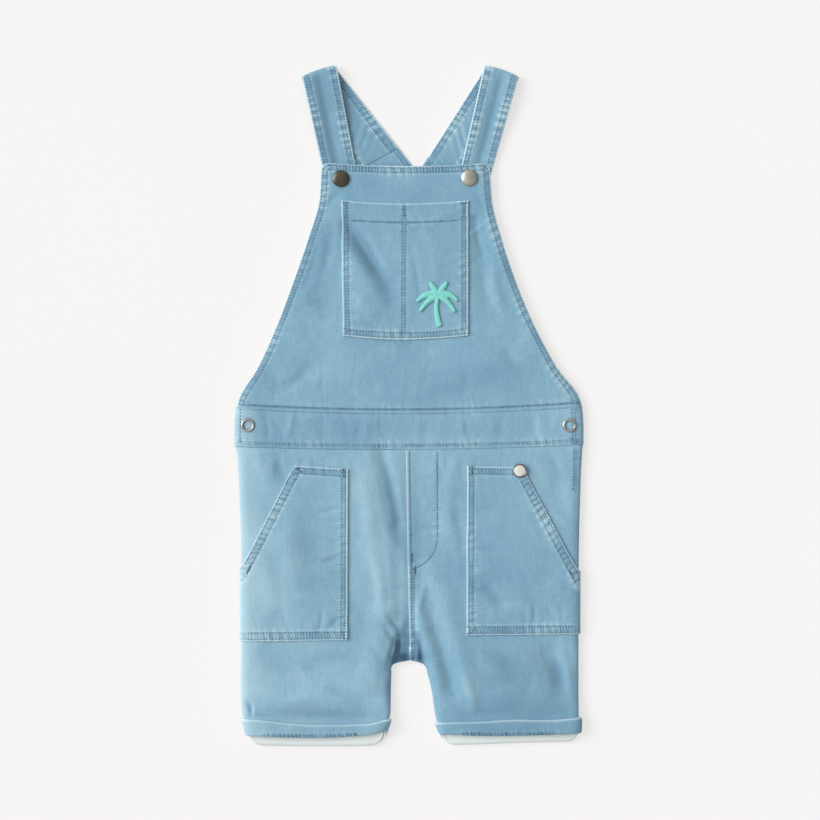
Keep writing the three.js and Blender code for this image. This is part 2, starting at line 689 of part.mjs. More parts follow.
// Panels
const bib = lifted(bibRows(frontSide, BIB_TOP, 6, 20, 20), frontHeight);
const band = lifted(waistbandRows(frontSide), frontHeight);
const bibWall = wall(bib, CLOTH);
const bandWall = wall(band, DOUBLE);
piece("front_bib", bibWall, "denim");
piece("front_waistband", bandWall, "denim");
piece("back_bib", wall(lifted(backBibRows(10, 14), backHeight), CLOTH), "denim");
piece("back_waistband", wall(lifted(waistbandRows(backSide), backHeight), CLOTH), "denim");
const hipPocket = {};
for (const which of ["left", "right"]) {
  const front = lifted(legRows(which, hemLine.front, 14), frontHeight);
  const back = lifted(legRows(which, hemLine.back, 7), backHeight);
  piece(`front_leg_${which}`, wall(front, CLOTH), "denim");
  piece(`back_leg_${which}`, wall(back, CLOTH), "denim");
  piece(`cuff_front_${which}`, cuffOf(front, CUFF_OUT), "denim");
  piece(`cuff_back_${which}`, cuffOf(back, -CUFF_OUT), "denim");
  hipPocket[which] = cutTo(wall(moved(front, LAID), CLOTH), hipPocketOutline(which));
  piece(`hip_pocket_${which}`, hipPocket[which], "denim");
  const strap = facingUp(strapGrid(STRAPS[which]), which === "left");
  piece(`strap_${which}`, wall(strap, DOUBLE), "denim");
}
const bibPocket = cutTo(wall(moved(bib, LAID), CLOTH), bibPocketOutline());
piece("bib_pocket", bibPocket, "denim");

// A fastener's foot stands on the highest point under its rim.
function seatedOn(geometry, [x, y], r) {
  const top = topOf(geometry);
  const rim = Array.from({ length: ROUND_SIDES }, (_, i) => {
    const turn = (i / ROUND_SIDES) * 2 * PI;
    return top(x + r * cos(turn), y + r * sin(turn));
  });
  return [x, y, max(...rim.filter(Number.isFinite)) + GAP];
}

// Fasteners, and the palm on the pocket
piece("bib_cap_left", turned(capProfile(CAP)), "dark", seatedOn(bibWall, CAP.left, CAP.r));
piece("bib_cap_right", turned(capProfile(CAP)), "metal", seatedOn(bibWall, CAP.right, CAP.r));
piece("ring_snap_left", turned(ringProfile(RING)), "metal", seatedOn(bandWall, RING.left, RING.r));
piece("ring_snap_right", turned(ringProfile(RING)), "metal", seatedOn(bandWall, RING.right, RING.r));
const rivetAt = seatedOn(hipPocket.right, RIVET.at, RIVET.r);
piece("pocket_rivet", turned(rivetProfile(RIVET)), "pearl", rivetAt);
const pocketTop = topOf(bibPocket);
piece("palm_applique", palmGeometry((x, y) => pocketTop(x, y) + GAP), "mint");

export default romper;
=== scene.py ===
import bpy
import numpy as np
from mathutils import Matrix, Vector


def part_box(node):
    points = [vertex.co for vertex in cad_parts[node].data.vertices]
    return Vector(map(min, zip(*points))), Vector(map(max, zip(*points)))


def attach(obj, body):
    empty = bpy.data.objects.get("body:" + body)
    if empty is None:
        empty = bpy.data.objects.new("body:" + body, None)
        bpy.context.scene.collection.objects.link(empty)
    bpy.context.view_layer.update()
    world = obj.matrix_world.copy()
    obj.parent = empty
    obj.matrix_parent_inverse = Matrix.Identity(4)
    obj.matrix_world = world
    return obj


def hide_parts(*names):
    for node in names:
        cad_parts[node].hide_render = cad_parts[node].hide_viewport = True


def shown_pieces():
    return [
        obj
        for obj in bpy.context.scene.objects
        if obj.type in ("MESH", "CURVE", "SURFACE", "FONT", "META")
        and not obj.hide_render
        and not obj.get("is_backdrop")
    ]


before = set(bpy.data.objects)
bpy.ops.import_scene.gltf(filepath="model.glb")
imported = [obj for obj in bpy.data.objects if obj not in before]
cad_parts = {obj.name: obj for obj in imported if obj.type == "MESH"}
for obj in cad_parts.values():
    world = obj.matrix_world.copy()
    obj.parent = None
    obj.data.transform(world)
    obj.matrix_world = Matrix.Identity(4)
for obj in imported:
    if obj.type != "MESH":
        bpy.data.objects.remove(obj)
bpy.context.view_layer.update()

# %% [markdown]
# A baby's short bib overalls in washed stretch denim, laid flat on their back.
# The real garment is cut from flat panels and sewn together, so each panel is made here as one
# surface worked out from its sizes: a height above the table for every point of its plan.
# A cloth simulation could drop the panels on a floor, but a laid-out garment hardly drapes, and the
# soft folds that matter are easier to list one by one. All lengths below are in millimetres.

MM = 0.001
random = np.random.default_rng(7)


def ease(q):
    """0 to 1 with level ends: 3 q squared less 2 q cubed."""
    q = np.clip(q, 0, 1)
    return q * q * (3 - 2 * q)


def dome(q):
    """A quarter circle: steep at 0, level at 1."""
    return np.sqrt(1 - (1 - np.clip(q, 0, 1)) ** 2)


def mix(a, b, q):
    return a + (b - a) * q


def smooth(ys, xs):
    """A curve x(y) through a table's rows that never overshoots them.

    Each piece is a cubic. Its slope at a row is the harmonic mean of the slopes on both sides, or 0
    where they differ in sign.
    """
    order = np.argsort(ys)
    y, x = np.array(ys, float)[order], np.array(xs, float)[order]
    step = np.diff(y)
    slope = np.diff(x) / step
    before, after = np.r_[slope[:1], slope], np.r_[slope, slope[-1:]]
    same = before * after > 0
    tangent = np.where(same, 2 * before * after / np.where(same, before + after, 1), 0)

    def curve(q):
        q = np.asarray(q, float)
        k = np.clip(np.searchsorted(y, q, side="right") - 1, 0, len(y) - 2)
        s = np.clip((q - y[k]) / step[k], 0, 1)
        bend = s * (1 - s) ** 2 * tangent[k] - s * s * (1 - s) * tangent[k + 1]
        return mix(x[k], x[k + 1], s * s * (3 - 2 * s)) + step[k] * bend

    return curve


# %% [markdown]
# The sizes are the frame's own: walls, heights, and the outline of each panel as a short table.
# Repeating them lets every surface here lie on its solid, so nothing has to be fitted by eye.

# %% Sizes of the cloth and of the garment
CLOTH, DOUBLE, CUFF, GAP = 1.2, 1.6, 2.0, 0.3
TOUCH = 0.02
LAID = CLOTH + GAP
CUFF_OUT = CLOTH / 2 + GAP + CUFF / 2
BACK_Z, FRONT_Z, SEAM_Z, BIB_EDGE_Z = CLOTH / 2, 5.4, 3.0, 4.75
CROTCH_APART = (CLOTH + GAP) / 2
BIB_TOP = {"middle": 172.2, "ends": 174.8, "half": 62, "corner": 6}
WAIST_TOP = {"middle": -4.2, "ends": 0.2, "tilt": 0.7}
WAIST_BOTTOM = {"middle": -31.2, "ends": -28.4, "tilt": 0.7}
WAIST_HALF, WAIST_MIDDLE = 125, -16
VALLEY_TOP, CROTCH, LEG_TUBE = -157, -182.5, -191
CUFF_LINE, CUFF_TOP, HEM_FRONT, HEM_BACK = -222, -225.4, -237, -244.8
HEM_RISE = {"from": -206, "back": CUFF + GAP, "seam": 1.95, "front": 1.6}
SIDE_R, INSEAM_R = 6, 6
BIB_FREES, VALLEY_FADES, TUBE_CLOSES = 40, {"front": 40, "back": 20}, 8

FRONT_SIDES = {
    "y": [180, 150, 120, 90, 60, 30, 1, -16, -28, -32, -60, -110, -160, -200, -222, -230, -240],
    "left": [-62.7, -64.4, -72.9, -83.3, -94.6, -107.9, -123.4, -124.6, -124.6, -123.2, -121.4, -119.8,
             -119.6, -120.4, -118.8, -116.2, -113.8],
    "right": [58, 59.6, 67, 77, 89.5, 105.2, 123.4, 124.6, 124.6, 124, 122.6, 121.4,
              121.2, 121.2, 121.2, 121.4, 120.8],
}
BACK_SIDES = {
    "y": [172, 140, 100, 60, 30, 1, -16],
    "left": [-41, -47, -59.5, -78, -98, -122.6, -124.6],
    "right": [38, 47, 61, 80, 98.5, 122.6, 124.6],
}
INNER_EDGES = {
    "y": [-30, -125, -169, -182.5, -183.7, -185.8, -191, -205, -221, -230, -240],
    "left": [-2.2, -0.7, 0.5, 0.7, -5.6, -11.6, -13.2, -13.6, -13.8, -16.6, -20],
    "right": [-2.2, -0.7, 0.5, 0.7, 5.8, 10.8, 13.5, 17, 19.6, 22.6, 25.4],
}
VALLEY_EDGES = {
    "y": [-157, -168, -177, -185.4, -191, -205, -221, -230, -240],
    "left": [0, -6.2, -10, -12.4, -13.2, -13.6, -13.8, -16.6, -20],
    "right": [1.4, 4.6, 7.4, 10.6, 13.5, 17, 19.6, 22.6, 25.4],
}
LEG_ROWS = {
    "outer": [-29.6, -80, -140, -160, -168, -174, -181, -191, -208, -222, -225.4, -237],
    "inner": [-32, -82, -146, -172, -182.5, -184.2, -187, -191, -208, -222, -225.4, -237],
}
SIDES = ("left", "right")
front_side = {s: smooth(FRONT_SIDES["y"], FRONT_SIDES[s]) for s in SIDES}
upper_back = {s: smooth(BACK_SIDES["y"], BACK_SIDES[s]) for s in SIDES}
inner_edge = {s: smooth(INNER_EDGES["y"], INNER_EDGES[s]) for s in SIDES}
valley_edge = {s: smooth(VALLEY_EDGES["y"], VALLEY_EDGES[s]) for s in SIDES}


def back_side(which, y):
    """The back's outline: its own above the waistband's middle, and the front's below it."""
    return np.where(np.asarray(y) > WAIST_MIDDLE, upper_back[which](y), front_side[which](y))


def seam_line(line, x):
    """A waistband seam: a sag in the middle and a slight tilt."""
    share = x / WAIST_HALF
    return mix(line["middle"], line["ends"], share**2) + line["tilt"] * share


def hem_share(y):
    return ease((HEM_RISE["from"] - y) / (HEM_RISE["from"] - CUFF_LINE))


def seam_height(y):
    return SEAM_Z + HEM_RISE["seam"] * hem_share(y)


# %% [markdown]
# Creases are what makes cloth look like cloth. Each one is a soft trough or ridge along a bent line,
# with its own length, width and depth. The first table repeats the frame's largest folds, and the
# second adds the finer ones that the photograph shows, and similar ones where it shows nothing.
# Noise could wrinkle the cloth all over, but real creases start at seams, corners and snaps.

# %% Creases
# Columns: x, y, to_x, to_y, bow, width, rise
FOLDS = [
    (-20, -34, -9, -86, 0, 9, -1.3),
    (-9, -86, -5, -150, 0, 8, -1.1),
    (-19, -150, -27, -198, 0, 14, 1.5),
    (8, -148, 23, -198, 0, 8, 1.2),
    (6, -112, 32, -206, 0, 10, -1.2),
    (27, -136, 44, -212, 0, 11, 1.0),
    (99, -176, 106, -204, 0, 13, -1.2),
    (-82, -96, -64, -140, 0, 24, 1.0),
    (74, -84, 92, -132, 0, 24, 1.0),
    (-96, -204, -40, -206, 0, 14, 0.9),
    (-42, 128, -12, 78, 0, 10, -1.1),
    (-40, 96, -30, 66, 0, 13, 1.2),
    (50, 132, 56, 76, 0, 9, -1.0),
    (-74, 74, -84, 34, 0, 18, 1.0),
    (30, 26, 78, 34, 0, 18, 0.9),
]
FRONT_CREASES = [
    # bib
    (-48, 154, -61, 138, -2, 4.5, -0.5),
    (44, 155, 55, 137, 2, 4.5, -0.45),
    (-34, 157, -8, 153, 1, 5, -0.35),
    (8, 160, 34, 155, -1, 5, 0.3),
    (-57, 128, -66, 92, 3, 6, -0.6),
    (-62, 110, -72, 82, 2, 6, 0.5),
    (48, 140, 53, 108, -2, 4, -0.5),
    (60, 98, 70, 64, -3, 7, 0.6),
    (-30, 44, 8, 40, 3, 7, -0.4),
    (-70, 22, -34, 14, 3, 8, 0.45),
    (-96, 12, -70, 30, -3, 7, -0.5),
    (88, 22, 66, 44, 3, 8, -0.5),
    (20, 10, 58, 8, 2, 7, -0.35),
    # bib pocket
    (-43, 131, -14, 88, -3, 9, -1.35),
    (-34, 124, -22, 104, 1, 3.5, -0.5),
    (-43, 116, -22, 72, 3, 8, 0.7),
    (-45, 67, -27, 60, 2, 3.2, -0.5),
    (-41, 60, -24, 55.5, 1, 3, -0.4),
    (-43, 86, -34, 80, 1, 3, -0.3),
    (10, 128, 20, 96, 3, 7, 0.35),
    (33, 92, 41, 88, 0, 2.4, -0.3),
    (34, 82, 41, 80, 0, 2.4, -0.3),
    (2, 112, 8, 72, 1, 4, -0.35),
    # left leg
    (-94, -36, -87, -56, -2, 6, -0.8),
    (-108, -36, -100, -66, 2, 8, 0.5),
    (-62, -34, -44, -40, 2, 5, -0.35),
    (-19, -36, -6, -98, 2, 5.5, -1.0),
    (-34, -44, -30, -112, 3, 9, 0.6),
    (-26, -104, -20, -148, 2, 6, 0.6),
    (-14, -152, -1, -166, -1, 3.4, -1.0),
    (-17, -158, -7, -172, -1, 3.6, -0.7),
    (-30, -172, -18, -186, 2, 5, -0.5),
    (-8, -163, -13, -186, -1, 3.6, -1.3),
    (3, -160, 8, -180, 1, 3.2, -0.9),
    (-70, -186, -38, -182, 3, 8, -0.6),
    (-104, -178, -76, -188, -4, 9, -0.5),
    (-58, -206, -30, -214, 2, 7, -0.5),
    (-90, -212, -62, -210, 2, 6, 0.4),
    (-116, -213, -113.4, -223, 1, 3.2, -1.3),
    (-110.4, -216, -111.6, -224, 0, 1.8, 0.7),
    (-110, -222, -97, -222.6, 0, 2.2, -0.6),
    # left pocket
    (-72, -66, -68, -150, -4, 15, -0.7),
    (-104, -112, -100, -150, 3, 9, 0.5),
    (-58, -160, -47, -152, 1, 4, -0.5),
    (-64, -162, -49, -160, 0, 2.6, 0.3),
    (-88, -142, -60, -138, 3, 6, 0.3),
    (-56, -98, -46, -96, 0, 3, -0.3),
    (-57, -118, -46, -117, 0, 3, 0.3),
    # right leg
    (34, -40, 28, -104, -3, 8, 0.5),
    (32, -70, 40, -120, 2, 6, -0.5),
    (11, -128, 4, -150, 1, 4, 0.6),
    (100, -36, 106, -62, 2, 7, -0.5),
    (101, -178, 108, -206, 2, 9, -1.0),
    (116, -180, 116, -208, 0, 5, 0.6),
    (38, -190, 46, -216, 1, 6, 0.7),
    (113, -44, 117, -84, 1, 6, 0.5),
    (50, -176, 74, -192, 4, 9, -0.6),
    (70, -172, 92, -178, -2, 7, 0.5),
    (58, -206, 90, -210, 3, 7, 0.45),
    (110, -168, 116, -200, -1, 6, 0.6),
    (36, -214, 60, -219, 2, 5, -0.4),
    # right pocket
    (50, -128, 66, -146, 3, 7, -0.8),
    (47, -92, 55, -95, 0, 4, -0.5),
    (60, -150, 96, -146, 3, 7, 0.5),
    (82, -132, 104, -150, -3, 9, -0.6),
    (46, -118, 54, -120, 0, 3, 0.3),
    (98, -126, 112, -132, 1, 7, 0.5),
    # along the cuffs, and the pinch beside the left one
    (-104, -221, -20, -221, 0, 6, -0.7),
    (-100, -211, -30, -211, 1, 8, 0.35),
    (28, -221, 116, -221, 0, 6, -0.6),
    (40, -211, 108, -211, -1, 8, 0.3),
    # waistband
    (-104, -4, -101, -26, 1, 4, -0.35),
    (-84, -6, -88, -27, 1, 5, 0.3),
    (-62, -5, -60, -27, -1, 6, -0.3),
    (-30, -8, -33, -29, 1, 5, 0.3),
    (12, -8, 9, -29, 1, 6, -0.3),
    (38, -6, 41, -28, -1, 5, 0.3),
    (66, -5, 63, -27, 1, 6, -0.35),
    (94, -3, 97, -26, 1, 5, 0.3),
]
BACK_CREASES = [
    (-60, 60, -20, 20, 6, 14, 0.5),
    (58, 70, 24, 28, -5, 13, 0.5),
    (-90, -60, -60, -150, 6, 16, 0.5),
    (84, -70, 66, -150, -6, 15, 0.5),
    (-30, -120, -14, -168, 3, 8, 0.5),
    (28, -118, 16, -168, -3, 8, 0.5),
    (-20, 120, 0, 80, 3, 12, 0.4),
]


def near_path(x, y, path):
    """Each point's distance to a path of straight pieces, above 0 on its left, and the length along
    the path up to the nearest point."""
    ends = np.asarray(path, float)
    step = np.diff(ends, axis=0)
    length = np.hypot(*step.T)
    start = np.r_[0, np.cumsum(length)[:-1]]
    best = np.full(x.shape, np.inf)
    side, along = np.ones(x.shape), np.zeros(x.shape)
    for (ax, ay), (dx, dy), size, begun in zip(ends[:-1], step, length, start):
        rx, ry = x - ax, y - ay
        t = np.clip((rx * dx + ry * dy) / size**2, 0, 1)
        away = np.hypot(rx - t * dx, ry - t * dy)
        closer = away < best
        best = np.where(closer, away, best)
        along = np.where(closer, begun + t * size, along)
        side = np.where(closer, np.where(dx * ry - dy * rx >= 0, 1.0, -1.0), side)
    return best * side, along


def crease_path(row):
    """A parabola from one end to the other that stands off the straight line by the bow."""
    x, y, to_x, to_y, bow = row[:5]
    t = np.linspace(0, 1, 2 if bow == 0 else 9)
    across = np.array([y - to_y, to_x - x]) / np.hypot(to_x - x, to_y - y)
    line = np.outer(1 - t, (x, y)) + np.outer(t, (to_x, to_y))
    return line + np.outer(4 * t * (1 - t) * bow, across)


def creases(x, y, rows, tapered=True):
    """The sum of all creases: each one's rise times a bell across its width, less towards its ends."""
    total = np.zeros(x.shape)
    for row in rows:
        path, width, rise = crease_path(row), row[5], row[6]
        (low_x, low_y), (high_x, high_y) = path.min(axis=0) - width, path.max(axis=0) + width
        inside = (x > low_x) & (x < high_x) & (y > low_y) & (y < high_y)
        if not inside.any():
            continue
        away, along = near_path(x[inside], y[inside], path)
        q = 1 - np.abs(away) / width
        bell = ease(q)
        if tapered:
            whole = np.hypot(*np.diff(path, axis=0).T).sum()
            bell = bell * np.sin(np.pi * np.clip(along / whole, 0.06, 0.94)) ** 0.5
        total[inside] += rise * bell
    return total


def hills(x, y, height):
    """Slow swells with no repeat: three crossing sine waves of unlike length and direction."""
    waves = np.sin(x / 9.7 + y / 23 + 1.3) + np.sin(y / 11.3 - x / 31 + 0.4)
    return height * (waves + np.sin((x + y) / 17.9 + 2.1)) / 3


def tension(x, y, to_x, to_y, inward, count):
    """Short faint wrinkles that pull away from a seam, to the side where inward is 1 or -1."""
    rows = []
    way = np.array([to_x - x, to_y - y]) / np.hypot(to_x - x, to_y - y)
    side = inward * np.array([-way[1], way[0]])
    for share in np.sort(random.uniform(0.03, 0.97, count)):
        start = np.array([x, y]) + share * np.array([to_x - x, to_y - y]) + side * random.uniform(4.5, 8)
        end = start + (side + way * random.uniform(-0.35, 0.35)) * random.uniform(7, 19)
        rise = random.choice([-0.24, -0.16, 0.2]) * random.uniform(0.6, 1.2)
        rows.append((*start, *end, random.uniform(-1.5, 1.5), random.uniform(2.4, 4.4), rise))
    return rows


# x, y, to_x, to_y, inward, count
TENSION = [
    (-48, 146, -48, 52, -1, 10), (42, 52, 42, 146, 1, 12), (-60, 150, -100, 40, 1, 12),
    (56, 150, 94, 40, -1, 13), (-44, -50, -44, -165, -1, 12), (42, -50, 42, -162, 1, 11),
    (-46, -168, -112, -168, -1, 8), (46, -164, 114, -164, 1, 8), (1, -36, 1, -112, 1, 9),
    (-2, -112, 0, -176, -1, 7), (3, -118, 4, -176, 1, 7), (-110, -30, -20, -33, -1, 9),
    (16, -33, 112, -30, -1, 9), (-112, 3, 112, 3, 1, 16), (-110, -27, 110, -27, 1, 12),
]
for seam in TENSION:
    FRONT_CREASES += tension(*seam)
# Patches that make the front paler, above 0, or deeper: painted shade in the crotch, along the drag creases, in
# the bib pocket's fold and above the cuffs, painted light on ridges beside them, and uneven wash elsewhere. The
# same columns.
SHADE_AND_WASH_PATCHES = [
    (-21, -32, -3, -128, 3, 10, -0.34),
    (-31, -60, -24, -142, 2, 14, 0.22),
    (-60, -176, -44, -210, 0, 30, 0.06),
    (-13, -150, -1, -170, -1, 6, -0.3),
    (-8, -165, -13, -189, 1.5, 3.4, -2.3),
    (-5, -166, -5, -190, 0, 7.5, -1.1),
    (-13, -180.5, 11, -180, -1, 6.5, -1.1),
    (-3, -150, -2, -184, 0, 6, -0.5),
    (6.6, -165, 9, -190, 0, 4.5, -1.5),
    (-13, -184, -14, -216, 0, 7, -0.8),
    (-116, -216, -24, -219, 0, 12, -0.36),
    (34, -215, 120, -214, 0, 13, -0.42),
    (-112, -233, -24, -233, 0, 13, -0.34),
    (28, -232, 120, -231, 0, 13, -0.5),
    (-6, -34, -5, -130, 0, 6, -0.2),
    (3.4, -34, 4.4, -120, 0, 5.5, -0.36),
    (104, -176, 110, -214, 3, 15, -0.5),
    (62, -172, 88, -216, 0, 34, -0.6),
    (43, -188, 48, -222, 0, 8, 0.3),
    (-66, -58, -62, -156, -3, 30, -0.22),
    (64, -56, 84, -156, 0, 34, -0.18),
    (-70, 132, -92, 44, -3, 22, -0.3),
    (72, 120, 84, 60, 3, 12, -0.2),
    (-60, 24, 60, 20, 0, 14, -0.08),
    (-43, 128, -13, 78, -2, 13, -0.42),
    (-42, 104, -34, 66, 2, 8, 0.1),
    (0, 136, 22, 66, 0, 40, -0.12),
    (-100, -16, 104, -16, 0, 13, -0.22),
]
print("creases:", len(FOLDS), "large and", len(FRONT_CREASES) + len(BACK_CREASES), "fine")

# %% [markdown]
# The front and back are two height fields. At the sides both curve round to the height of the side
# seam, as a quarter circle, so that together they make one flat tube. Between the legs the front
# sinks to the crotch seam. The bib's own sides are free, so they only droop a little.

# %% The front's and the back's heights
FINE, HILLS = 1.35, 0.45
FLY_ENDS = {"top": -31, "foot": -183}


def leg_edge(x, y, sign):
    """How level the cloth is near the centre or the inseam, from 0 to 1, and the height where it
    is 0: the crotch eases down, and the legs below it round over like tubes."""
    left = x < inner_edge["left"](np.maximum(y, CROTCH))
    away = np.where(left, valley_edge["left"](y) - x, x - valley_edge["right"](y))
    tube = ease((LEG_TUBE - y) / TUBE_CLOSES + 0.5)
    apart = mix(CROTCH_APART, GAP / 2, ease((LEG_TUBE - y) / TUBE_CLOSES - 0.5))
    q = away / INSEAM_R
    return mix(ease(q), dome(q), tube), seam_height(y) + sign * apart


def pressed(x, y):
    """The two waistband seams as narrow grooves."""
    low, high = y - seam_line(WAIST_BOTTOM, x), y - seam_line(WAIST_TOP, x)
    return -0.42 * np.exp(-((low / 1.0) ** 2)) - 0.24 * np.exp(-((high / 0.9) ** 2))


def fly_side(x, y):
    """Distance from the centre seam, above 0 on the right, and where the fly's fold lies over."""
    window = ease((FLY_ENDS["top"] - y) / 3) * ease((y - FLY_ENDS["foot"]) / 10)
    return x - inner_edge["left"](y), window


def lap(x, y):
    """The right front is folded over the left one: its edge stands a little higher."""
    away, window = fly_side(x, y)
    over, under = 0.5 * ease(1 - away / 3.4), -0.45 * ease(1 + away / 5.5)
    return window * np.where(away >= 0, over, under)


def front_height(x, y):
    """The middle of the front's wall above each point, with its folds and creases."""
    level = FRONT_Z + HEM_RISE["front"] * hem_share(y)
    free = ease((y - WAIST_TOP["ends"]) / BIB_FREES)
    edge = mix(seam_height(y) + GAP / 2, BIB_EDGE_Z, free)
    q = np.minimum(x - front_side["left"](y), front_side["right"](y) - x) / SIDE_R
    side = mix(dome(q), ease(q), free)
    z = mix(edge, level, side)
    inner, base = leg_edge(x, np.minimum(y, VALLEY_TOP), 1)
    fade = ease((y - VALLEY_TOP) / VALLEY_FADES["front"])
    z = z + (mix(base, level, inner) - level) * (1 - fade)
    inner = mix(inner, 1, fade)
    folds = creases(x, y, FOLDS, tapered=False)
    fine = FINE * creases(x, y, FRONT_CREASES) + hills(x, y, HILLS)
    return z + side * inner * (folds + fine * ease(q / 2)) + pressed(x, y) + lap(x, y)


def back_height(x, y):
    """The middle of the back's wall, which lies on the table and rises at the side seams."""
    level = BACK_Z + HEM_RISE["back"] * hem_share(y)
    edge = mix(seam_height(y) - GAP / 2, BACK_Z, ease((y - WAIST_TOP["ends"]) / BIB_FREES))
    q = np.minimum(x - back_side("left", y), back_side("right", y) - x) / SIDE_R
    z = mix(edge, level, dome(q))
    inner, base = leg_edge(x, np.minimum(y, VALLEY_TOP), -1)
    fade = ease((y - VALLEY_TOP) / VALLEY_FADES["back"])
    z = z + (mix(base, level, inner) - level) * (1 - fade)
    lift = creases(x, y, BACK_CREASES) * dome(q) * mix(inner, 1, fade)
    return z + np.maximum(lift, 0)


probe = np.array([0.0, 60.0, -115.0]), np.array([60.0, -100.0, -100.0])
print("front heights at three points:", np.round(front_height(*probe), 2))

# %% [markdown]
# A panel is a grid of points whose rows and columns crowd where it bends. The wall is that grid
# moved out and in along its normals. Towards a free edge the wall thins like a half circle, so the
# edge looks folded and pressed instead of cut with a knife. Solidify could thicken a sheet too, but
# it would leave every rim square.

# %% Grids, walls and meshes
ROUND_OFF = 6 * (1 - np.cos(np.linspace(0, np.pi / 2, 10)))
SOFT_EDGE = np.array([0, 0.06, 0.16, 0.32, 0.55, 0.85, 1.3, 1.9, 2.8, 4.2])
SEAM_EDGE = np.array([0, 0.2, 0.5, 1.0])


def across(a, b, left, right, step):
    """Columns between two edges: set distances in from each edge, then even steps between."""
    a, b = np.asarray(a, float)[:, None], np.asarray(b, float)[:, None]
    count = max(2, int(round(np.median(b - a) / step)))
    q = np.linspace(0, 1, count + 1)[None, 1:-1]
    first, last = a + left[None, :], b - right[None, ::-1]
    return np.hstack([first, mix(first[:, -1:], last[:, :1], q), last])


def along(low, high, first, last, step):
    """The same for one line of rows."""
    return across([low], [high], first, last, step)[0]


def grid_normals(points, snap=True):
    """Unit normals from the cross product of a grid's two directions. The rim stands upright where
    the cloth lies flat and level where it rounds over, so that no piece leans into its neighbour."""
    n = np.cross(np.gradient(points, axis=1), np.gradient(points, axis=0))
    if snap:
        n[[0, -1], :, 1] = 0
        for j in (0, -1):
            flat = np.abs(n[:, j, 2]) > np.abs(n[:, j, 0])
            n[flat, j, 0] = 0
            n[~flat, j, 2] = 0
    return n / np.maximum(np.linalg.norm(n, axis=2, keepdims=True), 1e-9)


def rim_distance(points, free):
    """Distance from each point of a grid to the nearest of its free edges, along the grid."""
    across_steps = np.linalg.norm(np.diff(points, axis=1), axis=2)
    up_steps = np.linalg.norm(np.diff(points, axis=0), axis=2)
    u = np.pad(np.cumsum(across_steps, axis=1), ((0, 0), (1, 0)))
    v = np.pad(np.cumsum(up_steps, axis=0), ((1, 0), (0, 0)))
    far = np.full(points.shape[:2], 1e3)
    options = {"left": u, "right": u[:, -1:] - u, "bottom": v, "top": v[-1:, :] - v}
    for name in free:
        far = np.minimum(far, options[name])
    return far


def mesh_of(name, points, faces, material, attributes):
    """Puts arrays of points (mm) and of four-cornered faces into a new smooth mesh object."""
    mesh = bpy.data.meshes.new(name)
    mesh.vertices.add(len(points))
    mesh.vertices.foreach_set("co", (np.asarray(points) * MM).astype(np.float32).ravel())
    mesh.loops.add(faces.size)
    mesh.loops.foreach_set("vertex_index", faces.astype(np.int32).ravel())
    mesh.polygons.add(len(faces))
    mesh.polygons.foreach_set("loop_start", np.arange(0, faces.size, 4, dtype=np.int32))
    mesh.update(calc_edges=True)
    mesh.polygons.foreach_set("use_smooth", np.ones(len(faces), bool))
    for key, values in attributes.items():
        layer = mesh.attributes.new(key, "FLOAT_VECTOR", "POINT")
        layer.data.foreach_set("vector", values.astype(np.float32).ravel())
    mesh.materials.append(material)
    mesh.validate()
    piece = bpy.data.objects.new(name, mesh)
    bpy.context.scene.collection.objects.link(piece)
    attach(piece, "root")
    return piece


def wall_faces(rows, columns):
    """The faces of a closed wall: the upper grid, the lower grid turned over, and four rims."""
    at = np.arange(rows * columns).reshape(rows, columns)
    low = at + rows * columns

    def quads(a, b, c, d):
        return np.stack([a, b, c, d], axis=-1).reshape(-1, 4)

    return np.vstack([
        quads(at[:-1, :-1], at[:-1, 1:], at[1:, 1:], at[1:, :-1]),
        quads(low[:-1, :-1], low[1:, :-1], low[1:, 1:], low[:-1, 1:]),
        quads(at[1:, 0], low[1:, 0], low[:-1, 0], at[:-1, 0]),
        quads(at[:-1, -1], low[:-1, -1], low[1:, -1], at[1:, -1]),
        quads(at[0, :-1], low[0, :-1], low[0, 1:], at[0, 1:]),
        quads(at[-1, 1:], low[-1, 1:], low[-1, :-1], at[-1, :-1]),
    ])


def wall(name, points, thickness, free, material, seam, tone, out=0.0, wrong="lower", snap=True, pale=0.0):
    """A closed wall of cloth round a grid that is first moved out along its normals. Its wrong side,
    the paler one inside the garment, is the lower or the upper face, or neither. Where pale is 1,
    the wrong side shows on both."""
    normal = grid_normals(points, snap)
    middle = points + normal * out
    half = thickness / 2 * np.maximum(dome(rim_distance(middle, free) / (thickness / 2)), 0.06)
    upper, lower = middle + normal * half[..., None], middle - normal * half[..., None]
    over, under = tone.copy(), tone.copy()
    over[..., 1] = np.maximum(wrong == "upper", pale)
    under[..., 1] = np.maximum(wrong == "lower", pale)

    def flat(a, b):
        return np.vstack([a.reshape(-1, 3), b.reshape(-1, 3)])

    attributes = {"seam": flat(seam, seam), "tone": flat(over, under)}
    return mesh_of(name, flat(upper, lower), wall_faces(*points.shape[:2]), material, attributes)


print("a wall of 3 by 3 points has", len(wall_faces(3, 3)), "faces")

# %% [markdown]
# Every seam is a path on the plan. It is used three times: the stitches stand along it, the cloth
# puckers beside it, and the material draws the fine ticks that washing leaves between two rows.
# The path's own length and the distance from it go into the mesh as an attribute, so the pattern
# bends with the seam.

# %% Seams as paths on the plan


def resample(path, step):
    """Points at even steps along a path."""
    path = np.asarray(path, float)
    length = np.r_[0, np.cumsum(np.hypot(*np.diff(path, axis=0).T))]
    s = np.linspace(0, length[-1], max(2, int(round(length[-1] / step)) + 1))
    return np.column_stack([np.interp(s, length, path[:, 0]), np.interp(s, length, path[:, 1])])


def beside(path, distance):
    """A path moved to its left by a distance."""
    path = np.asarray(path, float)
    way = np.gradient(path, axis=0)
    way /= np.hypot(way[:, 0], way[:, 1])[:, None]
    return path + distance * np.column_stack([-way[:, 1], way[:, 0]])


